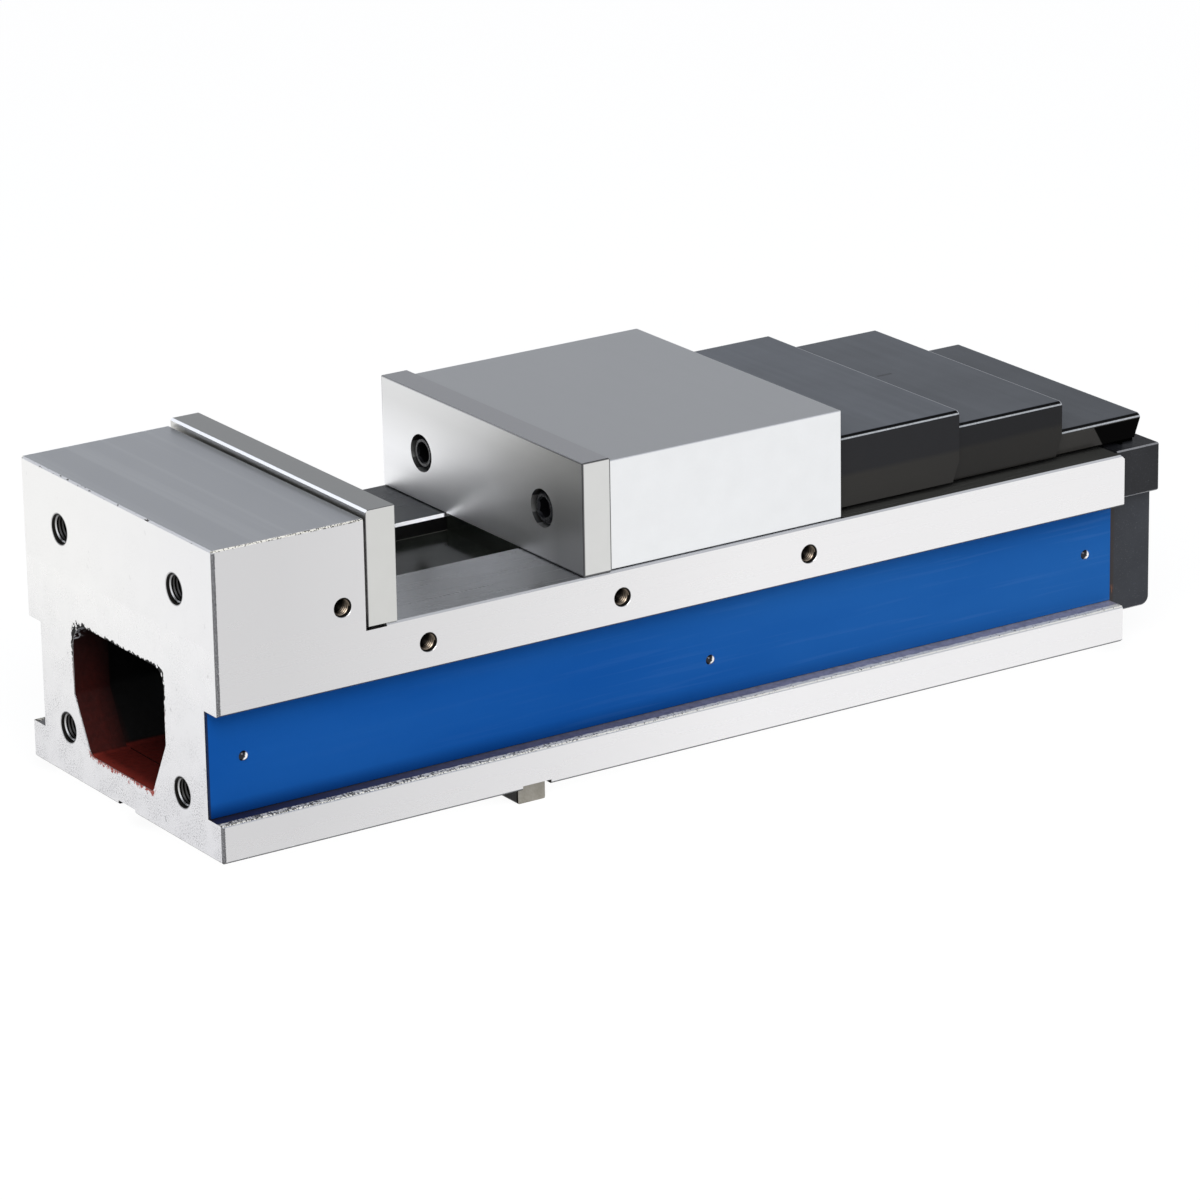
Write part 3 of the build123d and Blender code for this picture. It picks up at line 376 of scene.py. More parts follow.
def base_iron():
    """Ground iron with cast, primed spaces inside, pitted edges and paint smears round the window."""
    look = Look("ground iron of the base", specular=0.2)
    edge = edges(look)
    side_face = facing(look, look.size(look.ny))
    end_face = facing(look, look.times(look.nx, -1.0))
    on_block = look.above(look.z, BED + 5 * MM, MM)
    along_y = ground(look, STEEL, 0.30, "y")
    along_x = ground(look, STEEL, 0.27, "x", 2.0)
    colour = look.mix(on_block, along_x[0], along_y[0])
    roughness = look.blend(on_block, along_x[1], along_y[1])
    fine = look.blend(on_block, along_x[2], along_y[2])
    grain = look.noise(0.55 * MM, 3.0, roughness=0.65)
    coarse = look.noise(3.0 * MM, 4.0, roughness=0.65, seed=4.0)
    broad = look.noise(14 * MM, 3.0, seed=11.0)

    # painted light and shade: the sides are lighter than the ground steel and darker towards the fixed jaw;
    # the end face is lighter still, darker and bluer towards its near side and darker towards its foot
    shaded_side = look.times(side_face, look.span(look.x, END + 40 * MM, END + 330 * MM, 1.0, 0.0))
    colour = look.mix(look.times(side_face, 0.7), colour, (0.87, 0.86, 0.865))
    colour = look.mix(look.times(shaded_side, 0.8), colour, (0.60, 0.595, 0.60))
    colour = look.mix(look.times(end_face, 0.8), colour, (0.95, 0.945, 0.93))
    nearer = look.span(look.y, 40 * MM, -90 * MM)
    colour = look.mix(look.times(end_face, nearer, 0.45), colour, (0.80, 0.80, 0.83))
    foot = look.span(look.z, UNDERSIDE + 5 * MM, UNDERSIDE + 110 * MM, 1.0, 0.0)
    colour = look.mix(look.times(end_face, foot, 0.55), colour, (0.60, 0.60, 0.64))

    # the recess and the flange under it are rougher and darker; on the near side a purple tint, darker
    # towards the fixed jaw and lighter towards the rear, is a painted reflection of the blue plate, with
    # random mottling, and the far side is bare iron
    recess = look.times(look.above(look.z, FLANGE - MM, 0.1 * MM),
                        look.below(look.z, RAIL_FOOT + 0.6 * MM, 0.1 * MM),
                        look.below(look.size(look.nx), 0.5, 0.1),
                        look.above(look.size(look.y), WEB - 3 * MM), look.away(edge))
    toward_rear = look.span(look.x, END + 20 * MM, END + 400 * MM)
    recess_reflection_and_iron = look.mix(toward_rear, (0.085, 0.055, 0.10), (0.40, 0.37, 0.43))
    recess_reflection_and_iron = look.mix(look.span(coarse, 0.40, 0.65, 0.0, 0.45), recess_reflection_and_iron, (0.06, 0.055, 0.09))
    bare_iron = look.mix(look.span(coarse, 0.35, 0.65), (0.30, 0.30, 0.305), (0.36, 0.36, 0.365))
    recess_reflection_and_iron = look.mix(look.above(look.y, 0.0), recess_reflection_and_iron, bare_iron)
    colour = look.mix(look.times(recess, 0.9), colour, recess_reflection_and_iron)
    roughness = look.blend(recess, roughness, 0.45)
    dull = look.times(recess, toward_rear, 0.6)

    # the near top edge of the block carries a painted highlight and the flange's near edge a light band, both
    # with fine pits
    side_gap = look.size(look.add(look.size(look.y), -HALF_WIDTH))
    ragged = look.times(look.add(coarse, -0.5), 3.0 * MM)
    pit_grain = look.noise(0.8 * MM, 3.0, (1.2, 2.4, 1), 0.60, 37.0)
    block_edge = look.times(look.near(look.z, BLOCK_TOP, 0.9 * MM), look.below(side_gap, 1.8 * MM))
    flange_edge = look.times(look.near(look.z, FLANGE, 0.9 * MM), look.away(end_face),
                             look.below(look.add(side_gap, ragged), 4.6 * MM))
    block_worn = look.span(look.x, END, END + 85 * MM, 0.41, 0.48)
    flange_worn = look.span(look.x, END + 60 * MM, END + 420 * MM, 0.485, 0.36)
    block_pits = look.above(look.less(block_worn, pit_grain), 0.0, 0.006)
    flange_pits = look.above(look.less(flange_worn, pit_grain), 0.0, 0.006)
    pits = look.most(look.times(block_edge, block_pits), look.times(flange_edge, flange_pits))
    highlight_and_light_band = look.most(look.times(block_edge, edge), flange_edge)
    colour = look.mix(look.times(highlight_and_light_band, 0.85), colour, EDGE_HIGHLIGHT_AND_BAND)
    colour = look.mix(look.times(pits, 0.92), colour, PIT_DARK)
    roughness = look.blend(look.most(highlight_and_light_band, pits), roughness, 0.45)
    dull = look.most(dull, look.times(highlight_and_light_band, 0.9), pits)

    # nicks in the top edge of the end face
    end_edge = look.times(edge, look.below(look.x, END + 1.5 * MM), look.above(look.z, BLOCK_TOP - 1.5 * MM))
    nick = look.times(end_edge, look.above(look.noise(2.0 * MM, 3.0, (1, 2.2, 1), seed=21.0), 0.66, 0.02))
    colour = look.mix(look.times(nick, 0.9), colour, PIT_DARK)

    # standing corners are dark and rough; the lower edges and the foot of each side are painted shade in the
    # same dark rough colour
    rough_line = look.times(look.add(grain, -0.5), 1.2 * MM)
    corner = look.times(look.below(look.add(look.x, rough_line), END + 1.9 * MM, 0.1 * MM),
                        look.away(end_face), look.above(look.size(look.y), WEB - MM),
                        look.below(look.z, BLOCK_TOP - 1.2 * MM),
                        look.below(look.size(look.nz), 0.4, 0.05))
    under = look.times(edge, look.below(look.nz, -0.3, 0.05), look.below(look.z, RAIL_FOOT + 2 * MM))
    foot_line = look.times(side_face, look.below(look.z, UNDERSIDE + 1.1 * MM, 0.1 * MM))
    rough_corner_and_shade = look.most(look.times(corner, 0.92), look.times(look.most(under, foot_line), 0.92))
    rough_iron = look.mix(look.span(grain, 0.4, 0.6), (0.05, 0.05, 0.055), (0.20, 0.20, 0.21))
    colour = look.mix(rough_corner_and_shade, colour, rough_iron)

    # stains and scratches on the end face, more of them towards its foot
    stain = look.times(end_face, look.above(broad, 0.50, 0.10), look.specks(0.9 * MM, 0.55, seed=7.0),
                       look.course(look.z, (UNDERSIDE + 12 * MM, 0.50), (UNDERSIDE + 45 * MM, 0.30),
                                   (UNDERSIDE + 105 * MM, 0.10), (UNDERSIDE + 160 * MM, 0.02)))
    colour = look.mix(stain, colour, (0.19, 0.19, 0.20))
    scratch = look.times(end_face, look.specks(0.5 * MM, 0.70, (1, 9, 14), 17.0),
                         look.above(broad, 0.46, 0.05),
                         look.span(look.z, UNDERSIDE + 30 * MM, UNDERSIDE + 120 * MM, 0.5, 0.1))
    colour = look.mix(scratch, colour, (0.22, 0.22, 0.23))

    # small spots on the sides
    spot = look.times(side_face, look.specks(1.0 * MM, 0.80, seed=23.0))
    colour = look.mix(look.times(spot, 0.5), colour, (0.25, 0.24, 0.22))

    # light streaks on top of the block, a lighter, bluer tint on the block's top as a painted reflection, and
    # a darker far rail
    block_top = look.times(on_block, facing(look, look.nz))
    colour = look.mix(look.times(block_top, 0.8), colour, (0.835, 0.855, 0.885))
    streaks = look.span(lines(look, "y", 7 * MM, 41.0), 0.50, 0.72)
    colour = look.mix(look.times(block_top, streaks, 0.6), colour, (0.97, 0.985, 1.0))
    bed = look.times(facing(look, look.nz), look.near(look.z, BED, 0.3 * MM, 0.1 * MM))
    colour = look.mix(look.times(bed, look.above(look.y, 30 * MM), 0.95), colour, (0.085, 0.09, 0.095))
    colour = look.mix(look.times(bed, look.below(look.y, -30 * MM), 0.8), colour, (0.64, 0.65, 0.67))
    # behind the jaw the bed is painted dark, a painted shade under the covers
    shade_under_covers = look.times(bed, look.above(look.x, JAW_REAR + 2 * MM), 0.95)
    colour = look.mix(shade_under_covers, colour, (0.030, 0.029, 0.023))
    dull = look.most(dull, shade_under_covers)

    # paint smears round the window
    fraying = look.course(look.z, (UNDERSIDE + 22 * MM, 10 * MM), (UNDERSIDE + 60 * MM, 7 * MM))
    frayed = look.times(look.add(coarse, -0.5), fraying)
    distance = look.add(window_distance(look), frayed)
    low = look.below(look.z, UNDERSIDE + 21 * MM, 2 * MM)
    high = look.above(look.z, UNDERSIDE + 62 * MM, 8 * MM)
    chipped = look.below(from_axis(look, (look.y, look.z), (44 * MM, UNDERSIDE + 88 * MM)), 8 * MM, 3 * MM)
    reach = look.add(look.times(low, 1.6 * MM), look.times(high, 0.8 * MM), look.times(chipped, 1.0 * MM))
    spread = look.above(look.less(reach, distance), 0.0, 0.2 * MM)
    close = look.below(distance, 0.7 * MM, 0.5 * MM)
    brushed = look.blend(low, look.noise(2.3 * MM, 3.0, (1, 1, 1), 0.55, 13.0),
                         look.noise(1.1 * MM, 4.0, (1, 1, 2.0), 0.6, 13.0))
    streak = look.above(look.less(brushed, look.blend(close, 0.48, 0.40)), 0.0, 0.010)
    smear = look.times(end_face, spread, streak, look.most(low, high))
    red_smear = look.mix(look.span(grain, 0.4, 0.6), SMEAR_RED, (0.46, 0.11, 0.085))
    colour = look.mix(smear, colour, look.mix(high, red_smear, SOOT))

    # primer inside, with painted shade: black where it is deep and high up, which also turns the walls of the
    # slot black, and more primer shows on the floor
    to_end, to_side = to_holes(look)
    inside = look.times(cast_inside(look), look.above(to_end, END_HOLE_R + 1.2 * MM))
    floor = look.above(look.nz, 0.85, 0.05)
    depth = look.blend(floor, look.span(look.x, END + 12 * MM, END + 26 * MM, 1.0, 0.0),
                       look.span(look.x, END + 10 * MM, END + 75 * MM, 1.0, 0.0))
    height = look.span(look.z, UNDERSIDE + 25 * MM, UNDERSIDE + 86 * MM, 1.0, 0.12)
    red = look.times(depth, height, look.blend(floor, 0.40, 0.85), look.span(coarse, 0.3, 0.75, 0.65, 1.2))
    colour = look.mix(inside, colour, look.mix(red, (0.0008, 0.0007, 0.0007), PRIMER))
    worn_red = look.times(inside, floor, look.below(look.x, END + 5 * MM, 3 * MM))
    colour = look.mix(look.times(worn_red, 0.45), colour, (0.36, 0.045, 0.03))
    bare = look.times(inside, look.below(look.x, END + 5 * MM, 2 * MM),
                      look.above(look.z, UNDERSIDE + 80 * MM), look.above(look.y, 30 * MM),
                      look.specks(2.0 * MM, 0.52, seed=33.0))
    colour = look.mix(look.times(bare, 0.8), colour, (0.55, 0.56, 0.58))
    chip = look.times(inside, floor, look.specks(2.6 * MM, 0.70, seed=31.0))
    colour = look.mix(look.times(chip, 0.9), colour, (0.004, 0.003, 0.003))

    # a grey ring round each end hole; holes and keyways are painted dark as painted shade
    ring = look.times(end_face, look.near(to_end, END_HOLE_R + 0.75 * MM, 0.25 * MM, 0.1 * MM))
    colour = look.mix(look.times(ring, 0.6), colour, (0.22, 0.22, 0.23))
    keyway = look.times(look.below(look.z, UNDERSIDE + 2.6 * MM, 0.1 * MM),
                        look.above(look.z, UNDERSIDE + 0.06 * MM, 0.03 * MM),
                        look.above(look.x, END + 0.4 * MM),
                        look.below(look.size(look.y), HALF_WIDTH - 0.5 * MM),
                        look.below(look.x, REAR - 0.5 * MM))
    dark = look.most(in_holes(look, to_end, to_side), keyway)
    colour = look.mix(dark, colour, PAINTED_SHADE_BLACK)
    painted = look.most(inside, look.times(smear, low), look.times(dark, 0.7), dull)
    roughness = look.blend(look.most(inside, smear, dark), roughness, 0.5)
    relief = look.add(look.times(look.most(pits, nick), -0.6), look.times(inside, coarse),
                      look.times(rough_corner_and_shade, grain))
    normal = look.bump(relief, 0.35 * MM, look.bump(fine, 0.0002 * MM))
    return look.finish(colour, roughness, normal, look.away(painted))


def blue_paint():
    """Blue printed sheet, a little cloudy, with a satin surface; painted light makes it lighter towards the
    rear, and painted shade darkens its foot and its edges.
    """
    look = Look("blue plate", specular=0.02)
    cloud = look.noise(55 * MM, 3.0, (4, 1, 1))
    fine = look.noise(0.8 * MM, 3.0)
    # painted light: the sheet is lighter towards the rear
    across = look.span(look.x, END, REAR)
    level = look.add(look.times(across, 0.75), look.times(look.add(cloud, -0.5), 1.1), 0.1)
    colour = look.mix(look.span(level, 0.0, 1.0), (0.001, 0.058, 0.275), (0.0155, 0.113, 0.375))
    # painted shade along the foot, strongest at the fixed jaw's end
    foot = look.span(look.z, FLANGE + 0.5 * MM, FLANGE + 8 * MM, 0.75, 0.0)
    colour = look.mix(look.times(foot, look.away(across)), colour, (0.001, 0.012, 0.075))
    streak = look.times(look.above(look.noise(2.5 * MM, 2.0, (30, 1, 1), seed=5.0), 0.62, 0.06), across)
    colour = look.mix(look.times(streak, 0.05), colour, (0.20, 0.35, 0.60))
    # painted shade under the rail and along the front end
    rim = look.most(look.below(look.x, END + 0.9 * MM), look.above(look.z, RAIL_FOOT - 0.8 * MM))
    colour = look.mix(look.times(rim, 0.8), colour, (0.012, 0.012, 0.016))
    roughness = look.span(fine, 0.3, 0.7, 0.26, 0.34)
    return look.finish(colour, roughness, look.bump(fine, 0.004 * MM))


def cover_paint(name, node, top, side):
    """Black gloss paint, painted lighter on top as a painted reflection, with a painted dark reflection and a
    painted highlight along each bend.
    """
    look = Look(name, specular=0.12)
    low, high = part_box(node)
    streak = look.noise(6 * MM, 3.0, (1, 25, 1))
    cloud = look.noise(50 * MM, 3.0, seed=2.0)
    fine = look.noise(1.0 * MM, 2.0, seed=5.0)
    # painted reflection: the top is lighter towards the far side
    farther = look.span(look.y, -80 * MM, 80 * MM, -0.10, 0.10)
    level = look.add(look.times(streak, 0.4), look.times(cloud, 0.6), farther)
    # painted reflection: the sides are lighter and warmer low down
    upper = look.above(look.z, BED + 21 * MM, 1.5 * MM)
    sides = look.mix(look.add(upper, look.times(look.add(cloud, -0.5), 0.6)),
                     (1.6 * side, 1.5 * side, 1.35 * side), (side, side, 1.1 * side))
    wedge = 0.0
    if node == "rear_cover":
        # the lower rear corner of this cover's side is painted black without shine, a painted dark
        # reflection, and its sheet lies under the middle one's
        sheet_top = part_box("middle_cover")[1].z - 18 * MM
        slanted = look.add(look.x, look.times(look.add(look.z, 10.5 * MM - sheet_top), 0.56))
        wedge = look.times(look.above(slanted, high.x - 32.4 * MM, 0.3 * MM),
                           look.below(look.z, sheet_top - 9.3 * MM, 0.3 * MM), look.below(look.nz, 0.3, 0.1))
    # painted reflection on the top face
    top_face = look.above(look.nz, 0.96, 0.03)
    top_reflection = look.mix(look.span(level, 0.35, 0.65), *shade((0.90 * top, 0.98 * top, 1.12 * top), 0.88, 1.12))
    colour = look.mix(top_face, sides, top_reflection)
    colour = look.mix(wedge, colour, DARK_REFLECTION_BLACK)
    # a painted dark reflection and a painted highlight along each bend
    bend = look.below(look.size(look.nx), 0.2, 0.05)
    bend_dark_reflection = look.times(bend, look.near(look.nz, 0.815, 0.155, 0.02))
    bend_highlight = look.times(bend, look.near(look.nz, 0.50, 0.13, 0.03), look.span(fine, 0.35, 0.6, 0.75, 1.0))
    colour = look.mix(bend_dark_reflection, colour, DARK_REFLECTION_BLACK)
    colour = look.mix(look.times(bend_highlight, 0.85), colour, (0.50, 0.52, 0.54))
    scratch = look.times(top_face, look.specks(0.5 * MM, 0.76, (12, 3, 1), 8.0), look.above(cloud, 0.58, 0.03))
    if node == "middle_cover":
        mark = look.times(look.near(look.x, END + 501 * MM, 5 * MM), look.near(look.y, 11.5 * MM, MM, MM))
        scratch = look.most(scratch, look.times(top_face, mark))
    colour = look.mix(look.times(scratch, 0.6), colour, (0.012, 0.012, 0.012))
    # a painted highlight along the rear edge of the top; cut edges are light bare metal
    rim = look.times(look.above(look.x, high.x - 0.4 * MM, 0.1 * MM), look.above(look.nz, 0.5, 0.1))
    cut = look.above(look.size(look.nx), 0.9, 0.02)
    colour = look.mix(look.most(look.times(rim, 0.8), look.times(cut, 0.20)), colour, (0.50, 0.51, 0.53))
    roughness = look.span(level, 0.3, 0.7, 0.12, 0.18)
    return look.finish(colour, roughness, look.bump(fine, 0.002 * MM), wedge)


def guard_paint():
    """Black gloss sheet with a green tinge, oily, with thin bare edges."""
    look = Look("gloss guard sheet", specular=0.4)
    cloud = look.noise(18 * MM, 3.0)
    fine = look.noise(0.9 * MM, 2.0, seed=5.0)
    colour = look.mix(look.span(cloud, 0.3, 0.7), (0.006, 0.007, 0.006), (0.013, 0.015, 0.012))
    top = look.above(look.nz, 0.9, 0.02)
    border = look.above(look.size(look.y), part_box("front_chip_guard")[1].y - 0.6 * MM, 0.1 * MM)
    colour = look.mix(look.times(border, top, 0.7), colour, (0.16, 0.16, 0.14))
    roughness = look.span(cloud, 0.3, 0.7, 0.10, 0.20)
    return look.finish(colour, roughness, look.bump(fine, 0.002 * MM))


def bracket_paint():
    """Dark grey stippled paint, brownish and rusty beside the plate's end."""
    look = Look("bracket paint", specular=0.25)
    stipple = look.noise(0.8 * MM, 3.0, roughness=0.6)
    cloud = look.noise(22 * MM, 3.0, seed=3.0)
    body = look.below(look.z, RAIL_FOOT + 2 * MM, 0.1 * MM)
    dark = look.mix(look.span(cloud, 0.3, 0.7), (0.009, 0.0095, 0.0115), (0.015, 0.0155, 0.0185))
    light = look.mix(look.span(cloud, 0.3, 0.7), (0.024, 0.026, 0.032), (0.034, 0.037, 0.044))
    colour = look.mix(body, dark, light)
    colour = look.mix(look.times(look.span(stipple, 0.60, 0.75), 0.5), colour, (0.11, 0.12, 0.13))
    beside = look.times(look.below(look.x, REAR + 4.2 * MM), body, look.below(look.y, 0.0))
    colour = look.mix(look.times(beside, 0.8), colour, (0.030, 0.023, 0.021))
    rust = look.times(beside, look.near(look.z, FLANGE + 3.5 * MM, 3 * MM, 2 * MM),
                      look.above(look.noise(1.6 * MM, 3.0, (1, 1, 4), seed=8.0), 0.55, 0.03))
    colour = look.mix(look.times(rust, 0.8), colour, (0.21, 0.075, 0.035))
    worn_edge = look.times(edges(look), look.span(stipple, 0.3, 0.5, 0.5, 0.9))
    colour = look.mix(worn_edge, colour, (0.26, 0.26, 0.27))
    roughness = look.span(stipple, 0.3, 0.7, 0.38, 0.52)
    return look.finish(colour, roughness, look.bump(stipple, 0.05 * MM))


def plain_metal(name, tint, rough, turned=(1, 1, 1)):
    """Metal with fine turning lines along one axis, or an even grain."""
    look = Look(name, metallic=1.0)
    grain = look.noise(0.6 * MM, 3.0, turned)
    cloud = look.noise(12 * MM, 3.0, seed=2.0)
    level = look.add(look.times(grain, 0.5), look.times(cloud, 0.5))
    colour = look.mix(look.span(level, 0.35, 0.65), *shade(tint, 0.85, 1.12))
    roughness = look.span(level, 0.3, 0.7, rough - 0.05, rough + 0.08)
    return look.finish(colour, roughness, look.bump(grain, 0.008 * MM))


def rivet_chrome():
    """Small domed heads: painted shade on the left, with a painted highlight spot on the right."""
    look = Look("chromed rivet", metallic=1.0)
    grain = look.noise(0.4 * MM, 2.0)
    # painted shade on the left of each dome
    left = look.above(look.add(look.times(look.nx, -1.0), look.times(look.nz, 0.5)), 0.12, 0.10)
    colour = look.mix(left, (0.92, 0.92, 0.92), (0.03, 0.03, 0.035))
    return look.finish(colour, look.span(grain, 0.3, 0.7, 0.10, 0.16), look.bump(grain, 0.004 * MM))


def key_steel():
    """Oiled key steel, with painted shade making its end and its part inside the keyway nearly black."""
    look = Look("key steel", specular=0.1)
    grain = look.noise(0.7 * MM, 3.0)
    cloud = look.noise(9 * MM, 3.0, seed=2.0)
    colour = look.mix(look.span(look.add(look.times(grain, 0.4), look.times(cloud, 0.6)), 0.35, 0.65),
                      (0.25, 0.235, 0.20), (0.36, 0.34, 0.30))
    # painted shade on the end and inside the keyway
    shaded = look.most(look.below(look.nx, -0.5, 0.1), look.above(look.z, UNDERSIDE - 0.2 * MM))
    colour = look.mix(shaded, colour, PAINTED_SHADE_BLACK)
    return look.finish(colour, look.span(grain, 0.3, 0.7, 0.38, 0.50), look.bump(grain, 0.02 * MM),
                       look.span(shaded, 0.0, 1.0, 0.7, 1.0))


def tapped_thread(name, bright, on_side):
    """A tapped thread, oily, with black grooves of painted shade and light crests, brightest where the light
    reaches them.
    """
    look = Look(name, metallic=1.0)
    to_end, to_side = to_holes(look)
    crest = look.below(to_end, END_HOLE_R - 0.45 * MM, 0.12 * MM)
    lit = look.course(look.add(look.x, -END), (2.2 * MM, 1.0), (3.4 * MM, 0.12), (12 * MM, 0.05))
    upward = look.span(look.nz, -0.35, 0.45, 0.30, 1.0)
    if on_side:
        crest = look.below(to_side, SIDE_HOLE_R - 0.45 * MM, 0.12 * MM)
        lit = look.span(look.less(HALF_WIDTH, look.size(look.y)), 2 * MM, 7.5 * MM, 1.0, 0.0)
        upward = look.span(look.nz, 0.0, 0.7, 0.28, 1.0)
    grain = look.noise(0.5 * MM, 2.0)
    # painted shade in the grooves, painted light on the crests near the mouth and facing up
    colour = look.mix(look.times(crest, lit, upward), (0.008, 0.007, 0.006), bright)
    return look.finish(colour, look.span(grain, 0.3, 0.7, 0.26, 0.36), look.bump(grain, 0.01 * MM))


def black_oxide():
    """Blackened screws, worn grey and speckled on the flat of the head."""
    look = Look("black oxide", metallic=0.8)
    grain = look.noise(0.7 * MM, 3.0, roughness=0.6)
    flat = look.above(look.most(look.size(look.nx), look.size(look.nz)), 0.95, 0.02)
    worn = look.times(flat, look.span(grain, 0.40, 0.56))
    colour = look.mix(worn, (0.010, 0.010, 0.012), (0.13, 0.13, 0.135))
    roughness = look.span(grain, 0.3, 0.7, 0.26, 0.40)
    return look.finish(colour, roughness, look.bump(grain, 0.02 * MM))


def rubber():
    """Matt black rubber with a fine grain."""
    look = Look("wiper rubber", specular=0.3)
    grain = look.noise(0.8 * MM, 3.0)
    colour = look.mix(grain, (0.008, 0.008, 0.008), (0.022, 0.022, 0.022))
    return look.finish(colour, look.span(grain, 0.3, 0.7, 0.6, 0.75), look.bump(grain, 0.03 * MM))


TURNED = (1, 30, 30)
MATERIALS = {
    "base": base_iron(),
    "plate": ground_steel("ground fixed plate", (0.64, 0.64, 0.62), 0.31, "y", 1.0),
    "moving plate": ground_steel("ground moving plate", HARD_STEEL, 0.42, "y", 8.0, True),
    "jaw": movable_jaw_steel(),
    "blue": blue_paint(),
    "chrome": rivet_chrome(),
    "key": key_steel(),
    "screw": black_oxide(),
    "bracket": bracket_paint(),
    "first cover": cover_paint("first cover", "jaw_cover", 0.135, 0.0165),
    "second cover": cover_paint("second cover", "middle_cover", 0.110, 0.0125),
    "third cover": cover_paint("third cover", "rear_cover", 0.088, 0.021),
    "guard": guard_paint(),
    "rubber": rubber(),
    "bronze": plain_metal("bearing bronze", (0.62, 0.42, 0.20), 0.30, turned=TURNED),
    "turned": plain_metal("turned steel", (0.55, 0.55, 0.56), 0.28, turned=TURNED),
    "nut": plain_metal("nut iron", (0.30, 0.30, 0.30), 0.42),
    "thread": tapped_thread("tapped thread", (0.90, 0.90, 0.90), False),
    "oily thread in painted shade": tapped_thread("oily thread in painted shade", (0.52, 0.42, 0.32), True),
}
FINISH = {
    "base": ["base_casting"],
    "plate": ["fixed_jaw_plate"],
    "moving plate": ["movable_jaw_plate"],
    "jaw": ["movable_jaw"],
    "blue": ["side_plate"],
    "chrome": ["side_plate_rivets"],
    "key": ["guide_key_near", "guide_key_far"],
    "screw": ["fixed_jaw_screws", "movable_jaw_screws", "guide_key_screws", "rear_bracket_screws",
              "rear_cover_screws", "jaw_cover_screws", "chip_guard_screws", "jaw_set_screw",
              "spindle_lock_nut"],
    "bracket": ["rear_bracket"],
    "first cover": ["jaw_cover"],
    "second cover": ["middle_cover"],
    "third cover": ["rear_cover"],
    "guard": ["front_chip_guard"],
    "rubber": ["jaw_cover_wiper", "middle_cover_wiper"],
    "bronze": ["spindle_bush", "thrust_cage", "rear_thrust_washer"],
    "turned": ["rear_bracket_dowels", "outer_thrust_washer", "angle_lock_segment", "spindle_screw",
               "booster_housing", "booster_springs", "booster_piston", "booster_cap", "drive_shaft",
               "thrust_collar", "inner_thrust_washer", "thrust_needles"],
    "nut": ["jaw_nut"],
}
for finish, names in FINISH.items():
    for name in names:
        mesh = nodes[name].data
        mesh.materials.clear()
        mesh.materials.append(MATERIALS[finish])


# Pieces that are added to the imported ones

def add_mesh(name, vertices, faces, finish, body):
    mesh = bpy.data.meshes.new(name)
    mesh.from_pydata(vertices, [], faces)
    mesh.materials.append(MATERIALS[finish])
    mesh.validate()
    piece = bpy.data.objects.new(name, mesh)
    bpy.context.scene.collection.objects.link(piece)
    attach(piece, body)


def helix(outline, pitch, length, steps):
    """A rib of (radius, height) corners, wound about Z from 0 down to -length, and closed at its ends."""
    count = int(length / pitch * steps)
    corners = len(outline)
    vertices = []
    for step in range(count + 1):
        turn = 2 * math.pi * step / steps
        drop = -pitch * step / steps
        for radius, height in outline:
            vertices.append((radius * math.cos(turn), radius * math.sin(turn), drop + height))
    faces = []
    for step in range(count):
        for corner in range(corners):
            a = step * corners + corner
            b = step * corners + (corner + 1) % corners
            faces.append((a, b, b + corners, a + corners))
    first = list(range(corners))
    last = [count * corners + corner for corner in range(corners)]
    faces.append(first[::-1])
    faces.append(last)
    return vertices, faces


def inner_thread(name, mouth, outward, major, pitch, depth, finish):
    """The thread of a tapped hole: a rib on its wall, from the countersunk mouth to the full depth."""
    ridge = 0.54 * pitch
    buried = 0.05 * MM
    outline = [(major + buried, 0.0), (major - ridge, -pitch / 2), (major + buried, -pitch)]
    vertices, faces = helix(outline, pitch, depth - 2 * pitch, 40)
    place = Matrix.Translation(mouth) @ Vector(outward).to_track_quat("Z", "Y").to_matrix().to_4x4()
    moved = [place @ Vector(vertex) for vertex in vertices]
    add_mesh(name, moved, faces, finish, "base")


for number, (y, z) in enumerate(END_HOLES, 1):
    inner_thread(f"end_thread_{number}", (END + 0.3 * MM, y, z), (-1, 0, 0),
                 END_HOLE_R, 2 * MM, END_HOLE_DEPTH, "thread")
for side, word in ((-1, "near"), (1, "far")):
    for number, (x, z) in enumerate(SIDE_HOLES, 1):
        start = (x, side * (HALF_WIDTH - 0.6 * MM), z)
        inner_thread(f"side_thread_{word}_{number}", start, (0, side, 0),
                     SIDE_HOLE_R, 1.5 * MM, SIDE_HOLE_DEPTH, "oily thread in painted shade")


# Studio

def lamp(name, direction, distance, size, power):
    """A square soft lamp that looks at the middle of the vise."""
    data = bpy.data.lights.new(name, "AREA")
    data.shape = "SQUARE"
    data.size = size
    data.energy = power
    light = bpy.data.objects.new(name, data)
    bpy.context.scene.collection.objects.link(light)
    away = Vector(direction).normalized()
    light.location = Vector((0, 0, 0.09)) + away * distance
    light.rotation_mode = "QUATERNION"
    light.rotation_quaternion = away.to_track_quat("Z", "Y")


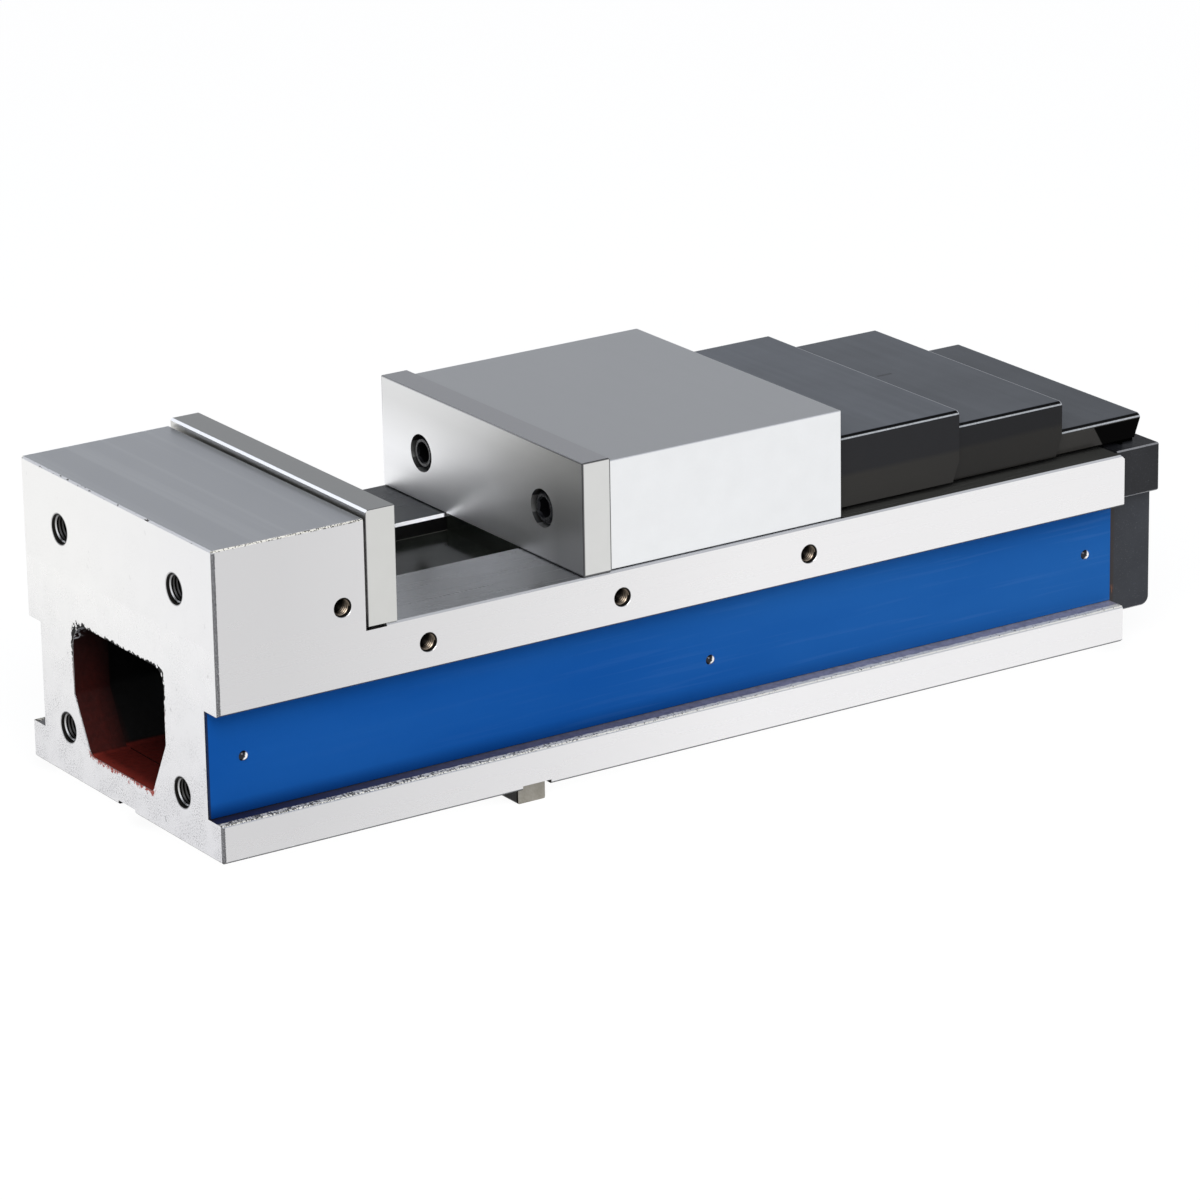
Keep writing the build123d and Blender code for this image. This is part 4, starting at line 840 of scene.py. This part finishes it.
def add_floor():
    """A pale floor that the camera, metal and glass see white, with the object's shadow on it."""
    reach = 40.0
    mesh = bpy.data.meshes.new("floor")
    mesh.from_pydata([(-reach, -reach, 0), (reach, -reach, 0), (reach, reach, 0), (-reach, reach, 0)], [],
                     [(0, 1, 2, 3)])
    material = bpy.data.materials.new("pale floor")
    material.use_nodes = True
    tree = material.node_tree
    tree.nodes.clear()
    build = Nodes(tree)
    diffuse = tree.nodes.new("ShaderNodeBsdfDiffuse")
    diffuse.inputs["Color"].default_value = (0.90, 0.90, 0.90, 1)
    white = tree.nodes.new("ShaderNodeEmission")
    white.inputs["Strength"].default_value = 1.09
    share = build.times(build.seen("Is Camera Ray", "Is Glossy Ray", "Is Transmission Ray"), 0.84)
    out = tree.nodes.new("ShaderNodeOutputMaterial")
    build.put(build.mix_shaders(share, diffuse.outputs[0], white.outputs[0]), out.inputs[0])
    mesh.materials.append(material)
    floor = bpy.data.objects.new("floor", mesh)
    bpy.context.scene.collection.objects.link(floor)


def add_world():
    """A studio room: bright walls in front, dimmer ones behind and overhead, and one high window."""
    world = bpy.data.worlds.new("studio")
    bpy.context.scene.world = world
    world.use_nodes = True
    tree = world.node_tree
    tree.nodes.clear()
    build = Nodes(tree)
    place = tree.nodes.new("ShaderNodeTexCoord")
    x, y, z = build.split(place.outputs["Generated"])
    front = build.course(z, (0.0, 0.95), (0.45, 0.95), (0.70, 0.66), (0.85, 0.56), (1.0, 0.25))
    behind = build.course(z, (0.0, 0.95), (0.07, 0.78), (0.17, 0.50), (0.32, 0.385), (0.50, 0.22),
                          (0.75, 0.12), (1.0, 0.25))
    left = build.span(x, -0.1, -0.42, 1.0, 0.30)
    level = build.blend(build.span(y, -0.15, 0.30, 1.0, 0.0), build.times(behind, left), front)
    toward = (-0.324, 0.790, 0.521)
    along = build.add(build.times(x, toward[0]), build.times(y, toward[1]), build.times(z, toward[2]))
    level = build.add(level, build.span(along, 0.983, 0.991, 0.0, 1.1))
    tint = build.mix(build.span(z, 0.05, 0.3), (1.0, 1.0, 1.0), (0.965, 1.0, 1.07))
    room = tree.nodes.new("ShaderNodeBackground")
    build.put(tint, room.inputs["Color"])
    build.put(level, room.inputs["Strength"])
    white = tree.nodes.new("ShaderNodeBackground")
    white.inputs["Color"].default_value = (1, 1, 1, 1)
    out = tree.nodes.new("ShaderNodeOutputWorld")
    backdrop = build.mix_shaders(build.seen("Is Camera Ray"), room.outputs[0], white.outputs[0])
    build.put(backdrop, out.inputs[0])


def add_camera():
    """The photograph's camera: its direction, distance, tilt and lens were fitted to the vise's edges."""
    azimuth, elevation, roll = (math.radians(angle) for angle in (-33.42, 18.91, -0.97))
    distance = 3.2885
    aim = Vector((-14.925, 0, 89.8)) * MM
    picture_shift = Vector((-8.29, -25.71)) * MM
    focal_pixels, frame_pixels, sensor = 6011.4, 1200, 36.0
    back = Vector((math.sin(azimuth) * math.cos(elevation), -math.cos(azimuth) * math.cos(elevation),
                   math.sin(elevation)))
    level = Vector((0, 0, 1)).cross(back).normalized()
    upright = back.cross(level)
    right = math.cos(roll) * level + math.sin(roll) * upright
    up = -math.sin(roll) * level + math.cos(roll) * upright
    place = aim + right * picture_shift.x + up * picture_shift.y + back * distance
    data = bpy.data.cameras.new("camera")
    data.sensor_width = sensor
    data.lens = focal_pixels / frame_pixels * sensor
    data.clip_start = 0.05
    data.clip_end = 100.0
    camera = bpy.data.objects.new("camera", data)
    turn = Matrix((right, up, back)).transposed().to_4x4()
    camera.matrix_world = Matrix.Translation(place) @ turn
    bpy.context.scene.collection.objects.link(camera)
    bpy.context.scene.camera = camera


add_floor()
add_world()
lamp("front lamp", (-0.45, -0.65, 0.62), 3.0, 1.6, 42)
add_camera()
bpy.context.scene.view_settings.view_transform = "Standard"
